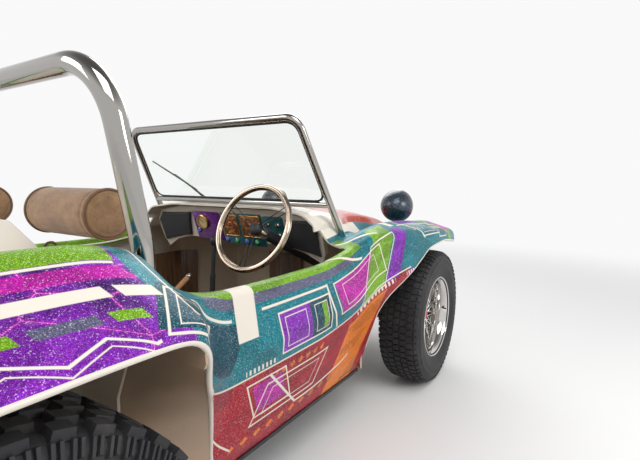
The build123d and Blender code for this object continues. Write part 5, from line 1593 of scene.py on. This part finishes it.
build_floor()
build_surround()
build_lights()
build_camera()
PAINT, GELCOAT = flake_artwork(), gelcoat("cream_gelcoat", CREAM, 0.28)
CORAL_COAT = gelcoat("coral_coat", CORAL, 0.2)
# Dark tan for the wheel wells and pillar panels: raw gelcoat's tone, darkened further as painted shade.
SHADED_RAW = gelcoat("inner_gelcoat_painted_shade", (0.42, 0.29, 0.19), 0.5)
# Browner, darker cream for the footwell and rear bulkhead: partly their own tone, partly painted shade.
SHADED_LINER = gelcoat("cockpit_gelcoat_painted_shade", (0.52, 0.42, 0.31), 0.5)
DIAL = gelcoat("dial_face", (0.72, 0.58, 0.30), 0.5)
VIOLET, TURQUOISE = flake_paint("violet_flake", PURPLE), flake_paint("turquoise_flake", TEAL)
NIGHT = flake_paint("night_flake", (0.012, 0.030, 0.055))
# Chrome with its base darker and warmer than chrome: painted shade standing in for the dark surroundings it
# reflects.
SHADED_CHROME = polished("chrome", (0.40, 0.385, 0.365), 0.05)
WHEEL_CHROME = polished("wheel_chrome", (0.60, 0.58, 0.56), 0.07)
RIM_METAL = polished("rim_metal", (0.36, 0.29, 0.23), 0.12)
BRASS = polished("brass", (0.62, 0.42, 0.14), 0.2)
COPPER = hammered("hammered_copper", (0.56, 0.26, 0.13))
ALLOY = cast_metal("cast_alloy", (0.46, 0.46, 0.47))
IRON = cast_metal("dark_iron", (0.10, 0.10, 0.105))
STEEL = cast_metal("bare_steel", (0.30, 0.30, 0.31), 900.0, 0.35)
BLACK = satin_paint("satin_black", (0.018, 0.018, 0.020), 0.42)
# The hub caps' red stands in for red surroundings reflected in them: a painted reflection.
RED_REFLECTION_CAP = satin_paint("red_hub_cap", (0.45, 0.02, 0.02), 0.15)
RUBBER, GLASS, WOOD, SUEDE = tyre_rubber(), clear_glass(), walnut(), brown_suede()
BLUE_GLASS, GREEN_GLASS = jewel("blue_button", (0.02, 0.12, 0.75)), jewel("green_button", (0.03, 0.45, 0.16))
RED_GLASS = jewel("red_lens", (0.50, 0.004, 0.004))
VINYL = grained("charcoal_vinyl", (0.022, 0.022, 0.026), (0.040, 0.040, 0.046), 520.0, 0.5)
PIPING = grained("brown_piping", (0.16, 0.085, 0.04), (0.22, 0.12, 0.06), 700.0, 0.6)
TAN = grained("tan_leather", (0.50, 0.26, 0.11), (0.38, 0.18, 0.07), 600.0, 0.55)
RUBBER_TRIM = grained("black_rubber", (0.016, 0.016, 0.017), (0.030, 0.030, 0.031), 900.0, 0.5, 0.0002)
NODE_FINISH = {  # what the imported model's own pieces are finished with
    GELCOAT: ("dash_panel",),
    # The footwell and bulkhead take the liner's painted shade.
    SHADED_LINER: ("footwell", "rear_bulkhead"),
    CORAL_COAT: ("nose_panel",),
    SHADED_CHROME: ("windscreen_frame", "roll_hoop", "bumpers", "exhaust"),
    GLASS: ("windscreen_glass",),
    ALLOY: ("gearbox", "engine", "carburettor"),
    BLACK: ("steering_column", "steering_box", "front_beam", "torsion_tube", "floor_pan", "backbone",
            "pedals", "fan_shroud"),
    STEEL: ("drop_arm", "tie_rod_left", "tie_rod_right", "dampers"),
    IRON: ("knuckle_left", "knuckle_right"),
}
build_body(PAINT, GELCOAT, CORAL_COAT)
build_wells(SHADED_RAW)
build_seats(SUEDE, PIPING)
build_dash(VINYL, VIOLET, TURQUOISE, COPPER, BRASS, SHADED_CHROME, DIAL, BLUE_GLASS, GREEN_GLASS, BLACK)
build_steering(RIM_METAL, BLACK)
build_lamps(NIGHT, SHADED_CHROME, GLASS, RED_GLASS)
build_seal(RUBBER_TRIM)
build_lever(BLACK, RUBBER_TRIM)
build_handbrake(TAN, SHADED_CHROME, BLACK)
build_boards(WOOD, SHADED_RAW)
build_wiper(BLACK, RUBBER_TRIM)
for row in WHEELS:
    for side in (1, -1):
        build_wheel(row, side, RUBBER, WHEEL_CHROME, IRON, RED_REFLECTION_CAP)
for finish, nodes in NODE_FINISH.items():
    for node in nodes:
        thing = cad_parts[node]
        for place in thing.material_slots:
            place.material = finish.material
        if not thing.material_slots:
            thing.data.materials.append(finish.material)
